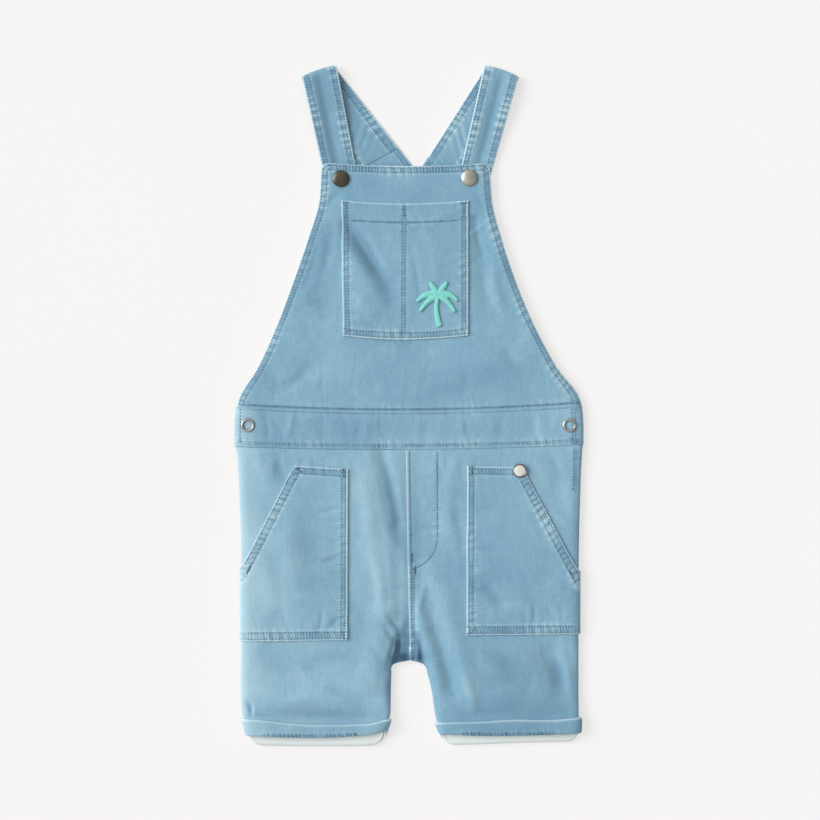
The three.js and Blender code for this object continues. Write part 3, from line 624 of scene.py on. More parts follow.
def band(path, half, rows=(-1, 1), pull=1.0, shift=0.0, ticks=0.2, pitch=2.2):
    """A seam: its middle line, half the distance between its rows of stitches, which rows it has,
    how strongly it pulls the cloth, and how clear and how far apart the ticks between them are."""
    middle = beside(resample(path, 3), shift)
    return {"path": middle, "half": half, "rows": rows, "pull": pull, "ticks": ticks, "pitch": pitch}


def bib_top(x):
    return mix(BIB_TOP["middle"], BIB_TOP["ends"], np.minimum(1, (x / BIB_TOP["half"]) ** 2))


def bib_outline():
    """Up the left edge, round the corner, along the top, and down the right edge."""
    y = np.linspace(2, BIB_TOP["ends"] - BIB_TOP["corner"] - 0.5, 50)
    left = np.column_stack([front_side["left"](y), y])
    right = np.column_stack([front_side["right"](y), y])[::-1]
    x = np.linspace(left[-1, 0] + BIB_TOP["corner"], right[0, 0] - BIB_TOP["corner"], 30)
    top = np.column_stack([x, bib_top(x)])
    corner = lambda a, b, c: [
        (1 - t) ** 2 * np.array(a) + 2 * t * (1 - t) * np.array(b) + t * t * np.array(c)
        for t in np.linspace(0.1, 0.9, 6)
    ]
    first = corner(left[-1], (left[-1, 0], top[0, 1]), top[0])
    second = corner(top[-1], (right[0, 0], top[-1, 1]), right[0])
    return np.vstack([left, first, top, second, right])


BIB_POCKET = {"left": -48.6, "right": 42.6, "top": 147.6, "dip": -2.4, "bottom": 50.6, "sag": -3.0,
              "taper": 1.2}
HIP_POCKETS = {
    "left": {"inner": (-43.6, -45.2), "foot": (-44.2, -168), "corner": (-81.4, -42.6),
             "slant": (-85.5, -48.4), "end": -115.2, "bottom": -169},
    "right": {"inner": (41.8, -43), "foot": (41.2, -164.6), "corner": (81.6, -43.8),
              "slant": (85, -50.4), "end": -118.6, "bottom": -163.8},
}
WAIST_X = np.linspace(-122, 122, 60)
waist_rows = {
    "top": np.column_stack([WAIST_X, seam_line(WAIST_TOP, WAIST_X)]),
    "bottom": np.column_stack([WAIST_X, seam_line(WAIST_BOTTOM, WAIST_X)]),
}


def pocket_lines():
    """The bib pocket's edges and its two sewn divisions."""
    p = BIB_POCKET
    q = np.linspace(0, 1, 24)
    bow = 4 * q * (1 - q)
    x = mix(p["left"], p["right"], q)
    edge = lambda y: np.column_stack([x, y])
    middle = (p["left"] + p["right"]) / 2 - 0.6
    return {
        "left": [(p["left"] + p["taper"], p["bottom"]), (p["left"], p["top"])],
        "right": [(p["right"], p["top"]), (p["right"], p["bottom"])],
        "bottom": edge(p["bottom"] + p["sag"] * bow)[::-1],
        "hem": edge(p["top"] - 13.6 + p["dip"] * bow)[2:-2],
        "middle": [(middle, p["top"] + p["dip"] - 1.5), (middle - 0.5, p["bottom"] + p["sag"] + 3)],
    }


def hip_lines(which):
    p = HIP_POCKETS[which]
    end = (float(front_side[which](p["end"])) * 1.03, p["end"] - 7)
    foot_x = float(front_side[which](p["bottom"])) * 1.03
    return {
        "inner": [p["inner"], p["foot"]],
        "top": [p["corner"], p["inner"]],
        "slant": [end, p["slant"]],
        "bottom": [p["foot"], (foot_x, p["bottom"])],
    }


pocket = pocket_lines()
hips = {which: hip_lines(which) for which in SIDES}
FLY_STITCH = [(20.2, -33), (20.4, -96), (18.6, -104), (14, -110.5), (8, -115), (1.4, -117.6)]


def hip_seams(which):
    """Rows inside a hip pocket's edges; a minus sign turns each path's inside to the right."""
    inside = 1 if which == "left" else -1
    lines = hips[which]
    return [
        band(lines["inner"], 1.6, shift=-inside * 3.2, pull=1.0),
        band(lines["top"], 2.0, shift=-inside * 3.6, pull=1.0, ticks=0.45),
        band(lines["slant"], 2.3, shift=-inside * 3.6, pull=1.6, ticks=0.85, pitch=4.0),
        band(lines["bottom"], 2.4, shift=-inside * 3.7, pull=1.2, ticks=0.8, pitch=2.05),
    ]


SETTLED = {
    "left": {"share": [0, 0.12, 0.5, 0.85, 1], "top": [1.3, 0.4, -2.8, -2.2, 1.3],
             "front": [0.6, 0.5, 0.5, 1.6, 4.2], "back": [1.6, 0.8, 0.4, 0.6, 1.4]},
    "right": {"share": [0, 0.3, 0.55, 0.8, 1], "top": [-1.3, -0.5, 1.0, 0.7, 2.2],
              "front": [1.9, 1.6, 2.0, 2.3, 2.3], "back": [1.2, 1.8, 2.8, 3.4, 3.8]},
}
SLIPS = {"below": -200, "fade": 22}
CUFF_TICKS = {"left": (0.12, 0.8), "right": (0.15, 0.83)}


def settled(which, layer, share, y):
    """How far a leg's end has slipped up or down on the table, at each share of its width."""
    table = SETTLED[which]
    top, low = (smooth(table["share"], table[key])(share) for key in ("top", layer))
    below = np.clip((CUFF_TOP - y) / (CUFF_TOP - HEM_FRONT), 0, 1)
    return mix(top, low, below) * ease((SLIPS["below"] - y) / SLIPS["fade"])


def front_hem(share):
    return HEM_FRONT - 1.2 * (1 - (2 * share - 1) ** 2)


def back_hem(share):
    return HEM_FRONT - 0.4 + (HEM_BACK - HEM_FRONT + 0.4) * (1 - (2 * share - 1) ** 26)


def cuff_row(which):
    """The line just above a front cuff's lower edge where the ticks of its seam show."""
    share = np.linspace(*CUFF_TICKS[which], 16)
    side, inside = float(front_side[which](-237)), float(inner_edge[which](-237))
    a, b = (side, inside) if which == "left" else (inside, side)
    y = front_hem(share) + settled(which, "front", share, HEM_FRONT) + 1.5
    return np.column_stack([mix(a, b, share), y])


SEAMS = {
    "front_bib": [
        band(bib_outline()[:57], 1.7, shift=-3.1, pull=1.6, ticks=0.3),
        band(bib_outline()[55:87], 1.7, shift=-3.1, pull=1.3, ticks=0.95, pitch=2.3),
        band(bib_outline()[85:], 1.7, shift=-3.1, pull=1.6, ticks=0.3),
        band(waist_rows["top"] + (0, 1.9), 0.9, rows=(0,), pull=0.9, ticks=0.5),
    ],
    "front_waistband": [
        band(waist_rows["top"] + (0, -1.5), 0.6, rows=(), pull=0.5),
        band(waist_rows["bottom"] + (0, 3.0), 1.1, rows=(), pull=1.0, ticks=0.75, pitch=2.4),
        band([(-121, -2), (-121.3, -27)], 0.6, rows=(0,), pull=0.4),
        band([(118, -2), (118.4, -27)], 1.4, rows=(-1, 1), pull=0.4),
    ],
    "bib_pocket": [
        band(pocket["left"], 1.5, shift=-3.3),
        band(pocket["right"], 1.5, shift=-3.3),
        band(pocket["bottom"], 1.8, shift=-3.2, pull=1.2, ticks=0.5),
        band(pocket["hem"], 0.9, rows=(0,), pull=0.7),
        band(pocket["middle"], 1.4, pull=0.7),
    ],
    "hip_pocket_left": hip_seams("left"),
    "hip_pocket_right": hip_seams("right"),
    "front_leg_left": [
        band([(-2.6, -33), (-1.2, -120), (-0.2, -182)], 0.5, rows=(), pull=0.4, shift=1.2),
    ],
    "front_leg_right": [
        band([(0.2, -33), (0.8, -70), (1.6, -116)], 0.6, rows=(0,), pull=0.7),
        band([(2.6, -117), (3.0, -160), (3.0, -181)], 1.2, pull=1.3),
        band(FLY_STITCH, 0.6, rows=(0,), pull=0.8),
        band([(119.2, -31), (119.0, -61)], 1.2, rows=(-1,), pull=0.9),
    ],
    **{f"cuff_front_{which}": [band(cuff_row(which), 1.1, (), 0.8, ticks=0.9, pitch=2.8)] for which in SIDES},
}
TICK = 2.2


def seam_field(x, y, bands):
    """For the material: length along the nearest seam, distance from it in half widths, its ticks."""
    field = np.zeros(x.shape + (3,))
    nearest = np.full(x.shape, np.inf)
    for item in bands:
        away, s = near_path(x, y, item["path"])
        gap = np.abs(away) - item["half"]
        closer = gap < nearest
        nearest = np.where(closer, gap, nearest)
        reach = item["ticks"] * ease(1 - gap / 3)
        values = np.stack([s * TICK / item["pitch"], away / item["half"], reach], axis=-1)
        field = np.where(closer[..., None], values, field)
    return field


def puckers(x, y, bands):
    """Soft ridges that run off a seam: a wave of uneven length along it, fading away from it."""
    total = np.zeros(x.shape)
    for item in bands:
        away, s = near_path(x, y, item["path"])
        phase = s / 0.86 + 1.7 * np.sin(s / 5.3) + 0.9 * np.sin(s / 12.1 + 1) + 0.25 * away
        fade = ease(1 - (np.abs(away) - item["half"]) / 5)
        uneven = 0.55 + 0.45 * np.sin(s / 8.9 + 2)
        total += 0.24 * item["pull"] * uneven * fade * (0.5 + 0.5 * np.sin(phase))
        total -= 0.16 * np.exp(-((np.abs(away) - item["half"]) / 0.8) ** 2) * min(1, item["pull"])
    return total


print("sewn lines:", sum(len(bands) for bands in SEAMS.values()))

# %% [markdown]
# The cloth is stretch denim: indigo yarns cross white ones in a twill, and washing has taken the
# blue off wherever the cloth stands proud. Raised cloth is also painted paler, and troughs painted
# darker, as painted light and shade. Three groups make those effects, and several materials share
# them: the twill's diagonal ribs, the uneven wash, and the marks beside a seam, which carry the
# painted shading too. A photograph could be laid on the cloth instead, but nodes keep their detail at
# any distance.

# %% Node helpers


def add(tree, kind, inputs=None, **settings):
    """A new node with its settings, whose inputs are linked to sockets or set to values."""
    made = tree.nodes.new(kind)
    for key, value in settings.items():
        setattr(made, key, value)
    for key, value in (inputs or {}).items():
        if isinstance(value, bpy.types.NodeSocket):
            tree.links.new(value, made.inputs[key])
        else:
            made.inputs[key].default_value = value
    return made


def maths(tree, operation, *values, clamp=False):
    inputs = dict(enumerate(values))
    return add(tree, "ShaderNodeMath", inputs, operation=operation, use_clamp=clamp).outputs[0]


def times(tree, a, b):
    return maths(tree, "MULTIPLY", a, b)

def plus(tree, a, b):
    return maths(tree, "ADD", a, b)

def place(tree, *scale):
    """Object coordinates in millimetres, scaled along each axis."""
    where = add(tree, "ShaderNodeTexCoord").outputs["Object"]
    return add(tree, "ShaderNodeMapping", {"Vector": where, "Scale": [s / MM for s in scale]}).outputs[0]

def noise(tree, scale, detail=2.0, roughness=0.5, grain=(1, 1, 1)):
    """Noise on a piece's own coordinates in millimetres, scaled by the grain along each axis."""
    inputs = {"Vector": place(tree, *grain), "Scale": scale, "Detail": detail, "Roughness": roughness}
    return add(tree, "ShaderNodeTexNoise", inputs).outputs["Fac"]


def stretch(tree, low, high, value, to_low=0.0, to_high=1.0):
    """The value's share of the way from low to high, eased, between two new ends."""
    inputs = {"Value": value, "From Min": low, "From Max": high, "To Min": to_low, "To Max": to_high}
    return add(tree, "ShaderNodeMapRange", inputs, interpolation_type="SMOOTHSTEP").outputs[0]


def tint(tree, factor, a, b):
    """Mixes two colours."""
    return add(tree, "ShaderNodeMix", {0: factor, 6: a, 7: b}, data_type="RGBA").outputs[2]



def effect(name, inputs, outputs):
    """A new node group with named value sockets; returns its tree and its two end nodes."""
    tree = bpy.data.node_groups.new(name, "ShaderNodeTree")
    for key, value in inputs.items():
        tree.interface.new_socket(key, in_out="INPUT", socket_type="NodeSocketFloat").default_value = value
    for key in outputs:
        tree.interface.new_socket(key, in_out="OUTPUT", socket_type="NodeSocketFloat")
    return tree, tree.nodes.new("NodeGroupInput"), tree.nodes.new("NodeGroupOutput")


def use(tree, group, **values):
    """A group's outputs, with its own values for the inputs that are named."""
    return add(tree, "ShaderNodeGroup", values, node_tree=group).outputs


print("helpers ready")

# %% Twill weave


def twill_group():
    """Ribs: a wave across the diagonal, broken up by noise so that no two yarns match."""
    tree, given, made = effect("Twill weave", {"Rib width": 0.75, "Wander": 0.9}, ("Height", "White yarn"))
    spot = place(tree, 1, 1, 1)
    parts = add(tree, "ShaderNodeSeparateXYZ", {0: spot}).outputs
    diagonal = plus(tree, parts[0], times(tree, parts[1], 0.62))
    wander = times(tree, noise(tree, 1.0, grain=(0.5, 0.5, 0.5)), given.outputs["Wander"])
    phase = maths(tree, "DIVIDE", plus(tree, diagonal, wander), given.outputs["Rib width"])
    rib = maths(tree, "SINE", times(tree, phase, 6.2832))
    grain = noise(tree, 1.0, 2.0, 0.65, grain=(1.3, 0.7, 1))
    height = plus(tree, times(tree, rib, 0.3), grain)
    speck = noise(tree, 1.0, 1.0, grain=(1.6, 1.1, 1.2))
    tree.links.new(height, made.inputs["Height"])
    tree.links.new(stretch(tree, 0.35, 0.75, plus(tree, times(tree, rib, 0.08), speck)),
                   made.inputs["White yarn"])
    return tree


twill = twill_group()
print("group:", twill.name)

# %% Uneven wash


def wash_group():
    """Three sizes of blotches, and streaks along the yarns."""
    tree, given, made = effect("Uneven wash", {"Strength": 1.0}, ("Fade",))
    large = noise(tree, 0.014, 2.0)
    middle = noise(tree, 0.075, 3.0, 0.6, grain=(1, 0.8, 1))
    streak = noise(tree, 0.55, 2.0, 0.6, grain=(1, 0.12, 1))
    small = noise(tree, 0.32, 3.0, 0.65)
    total = plus(tree, times(tree, large, 0.9), times(tree, middle, 0.6))
    total = plus(tree, total, times(tree, streak, 0.35))
    total = plus(tree, total, times(tree, small, 0.35))
    centred = maths(tree, "SUBTRACT", total, 1.1)
    tree.links.new(times(tree, centred, given.outputs["Strength"]), made.inputs["Fade"])
    return tree


wash = wash_group()
print("group:", wash.name)

# %% Marks beside a seam, and painted shading


def seam_and_shading_group():
    """From the attributes: slanting ticks between a seam's rows, a pale line outside them, the fade on rims,
    and painted shade in the relief's troughs, with its ridges paler from wear and painted light."""
    tree, given, made = effect("Seam marks", {"Pitch": TICK}, ("Dark", "Pale", "Height", "Wrong side"))
    seam = add(tree, "ShaderNodeAttribute", attribute_name="seam").outputs["Vector"]
    tone = add(tree, "ShaderNodeAttribute", attribute_name="tone").outputs["Vector"]
    length, off, reach = add(tree, "ShaderNodeSeparateXYZ", {0: seam}).outputs
    rim, wrong, ridge = add(tree, "ShaderNodeSeparateXYZ", {0: tone}).outputs
    away = maths(tree, "ABSOLUTE", off)
    waver = times(tree, noise(tree, 0.2, 2.0), 3.2)
    slant = plus(tree, length, times(tree, off, 0.35))
    phase = maths(tree, "DIVIDE", plus(tree, slant, waver), given.outputs["Pitch"])
    wave = maths(tree, "SINE", times(tree, phase, 6.2832))
    between = times(tree, stretch(tree, 1.35, 0.9, away), reach)
    patchy = stretch(tree, 0.3, 0.62, noise(tree, 0.12, 2.0))
    between = times(tree, between, stretch(tree, 0, 1, patchy, 0.35, 1.0))
    near = stretch(tree, 0.0, 0.12, reach)
    row = stretch(tree, 0.34, 0.05, maths(tree, "ABSOLUTE", maths(tree, "SUBTRACT", away, 1.0)))
    trough = stretch(tree, 0.05, -0.8, wave)
    crest = stretch(tree, 0.0, 0.9, wave)
    shaded = times(tree, stretch(tree, 1.35, 0.9, away), maths(tree, "MULTIPLY_ADD", patchy, 0.34, 0.2))
    ticks = times(tree, between, maths(tree, "MULTIPLY_ADD", trough, 0.7, 0.1))
    dark = plus(tree, ticks, times(tree, shaded, near))
    # Painted shade where the relief channel is below 0; above 0 the cloth is paler, partly wear and partly
    # painted light.
    low = maths(tree, "MAXIMUM", times(tree, ridge, -1.0), 0.0)
    high = maths(tree, "MAXIMUM", ridge, 0.0)
    outside = stretch(tree, 0.45, 0.1, maths(tree, "ABSOLUTE", maths(tree, "SUBTRACT", away, 1.6)))
    crests = times(tree, between, times(tree, crest, 0.2))
    pale = plus(tree, crests, times(tree, times(tree, outside, near), 0.14))
    pale = plus(tree, pale, times(tree, times(tree, row, near), 0.06))
    links = {
        "Dark": plus(tree, dark, low),
        "Pale": maths(tree, "ADD", plus(tree, pale, rim), high, clamp=True),
        "Height": times(tree, wave, between),
        "Wrong side": wrong,
    }
    for key, socket in links.items():
        tree.links.new(socket, made.inputs[key])
    return tree


seam_marks_and_shading = seam_and_shading_group()
print("group:", seam_marks_and_shading.name)

# %% Denim
BLUE, DEEP, NAVY_SHADE = (0.19, 0.4, 0.55, 1), (0.08, 0.187, 0.285, 1), (0.022, 0.06, 0.108, 1)
WORN_AND_LIT, INSIDE = (0.62, 0.79, 0.83, 1), (0.79, 0.845, 0.835, 1)


def new_material(name):
    material = bpy.data.materials.new(name)
    material.use_nodes = True
    return material, material.node_tree, material.node_tree.nodes["Principled BSDF"]


def denim_material(name, shade):
    """Washed denim. The shade turns the whole cloth a little lighter or deeper."""
    material, tree, shader = new_material(name)
    weave, fade, marks = use(tree, twill), use(tree, wash), use(tree, seam_marks_and_shading)
    blue = tint(tree, stretch(tree, -0.55 - shade, 0.75 - shade, fade["Fade"]), DEEP, WORN_AND_LIT)
    blue = tint(tree, 0.62, blue, BLUE)
    blue = tint(tree, times(tree, weave["White yarn"], 0.15), blue, WORN_AND_LIT)
    # Dark marks: wash ticks and shade beside the seams, and painted shade from the relief.
    blue = tint(tree, times(tree, maths(tree, "MINIMUM", marks["Dark"], 1.0), 0.74), blue, DEEP)
    # Painted shade: where the dark marks run past 1, mostly in the crotch and the deepest creases, the cloth
    # turns navy.
    blue = tint(tree, stretch(tree, 1.0, 2.2, marks["Dark"], 0, 0.9), blue, NAVY_SHADE)
    # Pale marks: worn rims and seam lines, and raised cloth made paler, partly by wear and partly as painted
    # light.
    blue = tint(tree, times(tree, marks["Pale"], 0.72), blue, WORN_AND_LIT)
    blue = tint(tree, times(tree, marks["Wrong side"], 0.95), blue, INSIDE)
    tree.links.new(blue, shader.inputs["Base Color"])
    tree.links.new(stretch(tree, 0, 1, weave["White yarn"], 0.82, 0.95), shader.inputs["Roughness"])
    shader.inputs["Sheen Weight"].default_value = 0.12
    shader.inputs["Sheen Roughness"].default_value = 0.6
    shader.inputs["Specular IOR Level"].default_value = 0.25
    rough = add(tree, "ShaderNodeBump", {"Strength": 0.4, "Distance": 0.16 * MM, "Height": weave["Height"]})
    ticks = {"Strength": 0.45, "Distance": 0.3 * MM, "Height": marks["Height"], "Normal": rough.outputs[0]}
    tree.links.new(add(tree, "ShaderNodeBump", ticks).outputs[0], shader.inputs["Normal"])
    return material


denim = denim_material("Washed denim", 0.05)
denim_deep = denim_material("Washed denim, deeper", -0.2)
print("materials:", denim.name, "and", denim_deep.name)

# %% Thread
THREAD_LOW, THREAD_HIGH = (0.05, 0.12, 0.195, 1), (0.125, 0.25, 0.355, 1)


def thread_material():
    """Twisted sewing thread: a fine wave round each stitch, and colour that varies along a seam."""
    material, tree, shader = new_material("Blue thread")
    uneven = noise(tree, 0.42, 2.0)
    twist = noise(tree, 6.0, 1.0)
    tree.links.new(tint(tree, stretch(tree, 0.3, 0.7, uneven), THREAD_LOW, THREAD_HIGH),
                   shader.inputs["Base Color"])
    tree.links.new(stretch(tree, 0.3, 0.7, twist, 0.55, 0.75), shader.inputs["Roughness"])
    bump = add(tree, "ShaderNodeBump", {"Strength": 0.5, "Distance": 0.1 * MM, "Height": twist})
    tree.links.new(bump.outputs[0], shader.inputs["Normal"])
    return material


thread = thread_material()
print("material:", thread.name)

# %% [markdown]
# Each front panel is built from its plan. The rows and columns stand close together at the edges,
# where the wall rounds off, and about a millimetre apart between them, which is fine enough for
# the puckers. The back's panels have wider steps, because they lie flat on the table.

# %% Building a cloth piece
PIECES, TOPS, CUTS = {}, {}, {}
EDGE_WEAR = 0.68


def rim_wear(points, worn):
    """Fading on the rims: each edge's own strength times exp(-distance squared), gone 2 mm in."""
    fading = [strength * np.exp(-(rim_distance(points, (edge,)) ** 2)) for edge, strength in worn.items()]
    return np.max(fading, axis=0) if fading else np.zeros(points.shape[:2])


def painted_side_light(x, y):
    """Painted light: the front is paler within 22 mm of its left side, where it rounds over towards the lamp,
    from the waistband down.
    """
    return 0.42 * ease(1 - (x - front_side["left"](y)) / 22) * ease((2 - y) / 6)


def fly_wear_and_shade(x, y):
    """The fly's folded edge is worn pale, and painted shade darkens the cloth just left of it, under the lap."""
    away, window = fly_side(x, y)
    return window * np.where(away >= 0, np.exp(-((away / 1.15) ** 2)), -0.5 * np.exp(-((away / 2.4) ** 2)))


def cloth_piece(name, x, y, height, thickness, free, out=0.0, bands=(), sample=None, worn=None,
                wrong="lower", snap=True, material=denim, pale=None):
    """A wall of cloth over a plan grid, at a height function, moved out from it."""
    sample = y if sample is None else sample
    plain = np.stack([x, y, height(x, sample)], axis=-1)
    points = plain + [0, 0, 1] * puckers(x, y, bands)[..., None]
    if height is not front_height:
        points[..., 2] = np.maximum(points[..., 2], thickness / 2 - out)
    # Painted light and shade from the relief: raised puckers are painted paler and sunken ones darker.
    relief_shading = 1.5 * (points - plain)[..., 2]
    if height is front_height:
        # On the front, painted shade in crease troughs and in the waistband's grooves, a little painted light on
        # crease ridges, painted light along the left side, and the patches of painted shade and wash.
        folded = creases(x, y, FRONT_CREASES)
        relief_shading += 0.4 * np.minimum(folded, 0.3 * np.abs(folded)) + 0.5 * pressed(x, y) + painted_side_light(x, y)
        relief_shading += creases(x, y, SHADE_AND_WASH_PATCHES)
    worn = dict.fromkeys(free, EDGE_WEAR) if worn is None else worn
    tone = np.stack([rim_wear(points, worn), 0 * x, np.clip(relief_shading, -2.4, 0.5)], axis=-1)
    # Painted shade beside the fly's lap, and its worn pale folded edge.
    if "front_leg" in name:
        tone[..., 2] += fly_wear_and_shade(x, y)
    seam = seam_field(x, y, bands)
    shown = 0.0 if pale is None else pale(points)
    piece = wall(name, points, thickness, free, material, seam, tone, out, wrong, snap, shown)
    TOPS[name] = lambda a, b: height(a, b) + puckers(a, b, bands) + out + thickness / 2
    PIECES[name] = piece
    CUTS[name] = plan_cut(points)
    return piece


def plan_cut(points):
    """Width and length of the flat cut, from the lengths of a grid's rows and columns."""
    rows = np.linalg.norm(np.diff(points[..., :2], axis=1), axis=2).sum(axis=1)
    columns = np.linalg.norm(np.diff(points[..., :2], axis=0), axis=2).sum(axis=0)
    return rows.max(), columns.max()


def sizes_of(*words):
    """The cut sizes of the pieces whose names hold one of the words."""
    return {n: np.round(size, 1).tolist() for n, size in CUTS.items() if any(word in n for word in words)}

print("ready to cut cloth")

# %% Plans of the upper panels


def share_of(values):
    return (values - values[0]) / (values[-1] - values[0])


def front_edge(which, y):
    return front_side[which](y)


def bib_plan(step):
    """Rows from the waistband up to a dipped top edge with round corners."""
    top, r = BIB_TOP["ends"], BIB_TOP["corner"]
    y = along(WAIST_TOP["ends"] + TOUCH, top, SEAM_EDGE, ROUND_OFF, step)
    turn = np.maximum(0, r - (top - y))
    inset = r - np.sqrt(np.maximum(0, r * r - turn * turn))
    x = across(front_edge("left", y) + inset, front_edge("right", y) - inset, SOFT_EDGE, SOFT_EDGE, step)
    return x, mix(seam_line(WAIST_TOP, x) + TOUCH, bib_top(x), share_of(y)[:, None])


def band_plan(edge, step):
    """The waistband, between its two curved seams."""
    y = along(WAIST_BOTTOM["ends"] + TOUCH, WAIST_TOP["ends"] - TOUCH, SEAM_EDGE, SEAM_EDGE, step)
    x = across(edge("left", y), edge("right", y), SOFT_EDGE, SOFT_EDGE, step)
    low, high = seam_line(WAIST_BOTTOM, x) + TOUCH, seam_line(WAIST_TOP, x) - TOUCH
    return x, mix(low, high, share_of(y)[:, None])


bib_x, bib_y = bib_plan(1.15)
cloth_piece("denim_front_bib", bib_x, bib_y, front_height, CLOTH, ("left", "right", "top"),
            bands=SEAMS["front_bib"], material=denim_deep)
band_x, band_y = band_plan(front_edge, 1.0)
cloth_piece("denim_front_waistband", band_x, band_y, front_height, DOUBLE, (),
            bands=SEAMS["front_waistband"], material=denim_deep)
print("front bib and waistband:", sizes_of("front"))

# %% Plans of the legs
SEAM_PULL = {"from": -110, "reach": 78}


def leg_stations(step):
    """Rows up a leg, as heights at its outer and inner edge. Near the crotch they fan out."""
    outer, inner = (np.array(LEG_ROWS[key], float)[::-1] for key in ("outer", "inner"))
    counts = np.ceil(np.maximum(np.diff(outer), np.diff(inner)) / step).astype(int)
    parts = [i + np.arange(count) / count for i, count in enumerate(counts)]
    t = np.concatenate(parts + [[len(outer) - 1]])
    at = np.arange(len(outer))
    return np.interp(t, at, outer), np.interp(t, at, inner)


def leg_plan(which, hem, step, highest=None):
    """A leg from its hem up to the waistband, or only the rows below the highest one asked for.
    Returns x, y, and the y at which the height is read, because a hem's edge is curved."""
    outer, inner = leg_stations(step)
    if highest is not None:
        kept = outer <= highest + 0.01
        outer, inner = outer[kept], inner[kept]
    left = which == "left"
    inside = inner_edge[which](inner) + np.where(inner >= CROTCH, TOUCH, 0) * (-1 if left else 1)
    side = front_side[which](outer)
    a, b, ya, yb = (side, inside, outer, inner) if left else (inside, side, inner, outer)
    x = across(a, b, ROUND_OFF, ROUND_OFF, step)
    share = (x - a[:, None]) / (b - a)[:, None]
    y = mix(ya[:, None], yb[:, None], share)
    top = mix(LEG_ROWS["outer"][0], LEG_ROWS["inner"][0], share if left else 1 - share)
    pull = ease((y - SEAM_PULL["from"]) / SEAM_PULL["reach"])
    upper = y + (seam_line(WAIST_BOTTOM, x) - TOUCH - top) * pull
    lower = mix(CUFF_LINE, hem(share), (CUFF_LINE - y) / (CUFF_LINE - HEM_FRONT))
    below = y < CUFF_LINE
    slip = settled(which, "front" if hem is front_hem else "back", share, y)
    return x, np.where(below, lower, upper) + slip, np.where(below, y, upper)


for which in SIDES:
    x, y, read = leg_plan(which, front_hem, 1.2)
    shade = denim if which == "left" else denim_deep
    cloth_piece(f"denim_front_leg_{which}", x, y, front_height, CLOTH, (), sample=read,
                bands=SEAMS[f"front_leg_{which}"], material=shade)
    x, y, read = leg_plan(which, front_hem, 0.8, CUFF_TOP)
    cloth_piece(f"denim_cuff_front_{which}", x, y, front_height, CUFF, ("top", "bottom"),
                out=CUFF_OUT, sample=read, bands=SEAMS[f"cuff_front_{which}"], worn={"top": 0.9}, wrong="",
                material=shade)
print("legs and cuffs:", sizes_of("leg", "cuff"))

# %% Plans of the pockets
OTHER = {"left": "right", "right": "left"}
POCKET_EDGE = np.unique(np.concatenate([SOFT_EDGE, ROUND_OFF]))


def bib_pocket_plan(step):
    p = BIB_POCKET
    y = along(p["bottom"], p["top"], SOFT_EDGE, SOFT_EDGE, step)
    v = share_of(y)[:, None]
    left = p["left"] + p["taper"] * (1 - v[:, 0])
    x = across(left, 0 * y + p["right"], SOFT_EDGE, SOFT_EDGE, step)
    q = (x - p["left"]) / (p["right"] - p["left"])
    bow = 4 * q * (1 - q)
    return x, mix(p["bottom"] + p["sag"] * bow, p["top"] + p["dip"] * bow, v)


def hip_pocket_plan(which, step):
    """Rows across a hip pocket. The outer edge follows the side seam, then the slanted opening,
    then the cut corner."""
    p = HIP_POCKETS[which]
    y = along(p["bottom"], p["corner"][1], SOFT_EDGE, SOFT_EDGE, step)
    seam = front_side[which](y)
    foot_x = float(front_side[which](p["end"]))
    bends = [p["end"], p["slant"][1], p["corner"][1]]
    opening = np.interp(y, bends, [foot_x, p["slant"][0], p["corner"][0]])
    outer = np.where(y < p["end"], seam, opening)
    inner = np.interp(y, [p["foot"][1], p["inner"][1]], [p["foot"][0], p["inner"][0]])
    a, b = (outer, inner) if which == "left" else (inner, outer)
    x = across(a, b, POCKET_EDGE, POCKET_EDGE, step)
    low = np.interp(np.abs(x), np.abs([p["foot"][0], foot_x]), [p["foot"][1], p["bottom"]])
    high = np.interp(np.abs(x), np.abs([p["inner"][0], p["corner"][0]]), [p["inner"][1], p["corner"][1]])
    return x, mix(low, high, share_of(y)[:, None])


x, y = bib_pocket_plan(0.9)
cloth_piece("denim_bib_pocket", x, y, front_height, CLOTH, ("left", "right", "top", "bottom"),
            out=LAID, bands=SEAMS["bib_pocket"], snap=False, material=denim_deep)
for which in SIDES:
    x, y = hip_pocket_plan(which, 0.95)
    cloth_piece(f"denim_hip_pocket_{which}", x, y, front_height, CLOTH,
                ("left", "right", "top", "bottom"), out=LAID, bands=SEAMS[f"hip_pocket_{which}"],
                worn={"top": 0.4, "bottom": 0.5, which: 0.35, OTHER[which]: 0.8}, snap=False,
                material=denim if which == "left" else denim_deep)
print("pockets:", sizes_of("pocket"))

# %% [markdown]
# The back is hidden below the front, apart from a strip at the hems and the arms behind the straps.
# Its panels are cut the same way, in wider steps. Its two arms end at the strap seams, with the V
# of the neckline between them. The paler wrong side of the cloth faces up here.

# %% The back's panels
STRAPS = {
    "left": {
        "front": {"outer": (-58.4, 154), "inner": (-34.8, 154)},
        "shoulder": {"outer": (-76, 233.2), "inner": (-51.4, 241.6)},
        "back": {"outer": (-39.5, 168), "inner": (-7.2, 185.8)},
    },
    "right": {
        "front": {"outer": (55.4, 154), "inner": (33.4, 154)},
        "shoulder": {"outer": (77.8, 233.2), "inner": (53.4, 241.6)},
        "back": {"outer": (37, 166), "inner": (13.7, 179.4)},
    },
}
NECK_V = (6.6, 168.0)
ARM_GAP = 1.3 * GAP


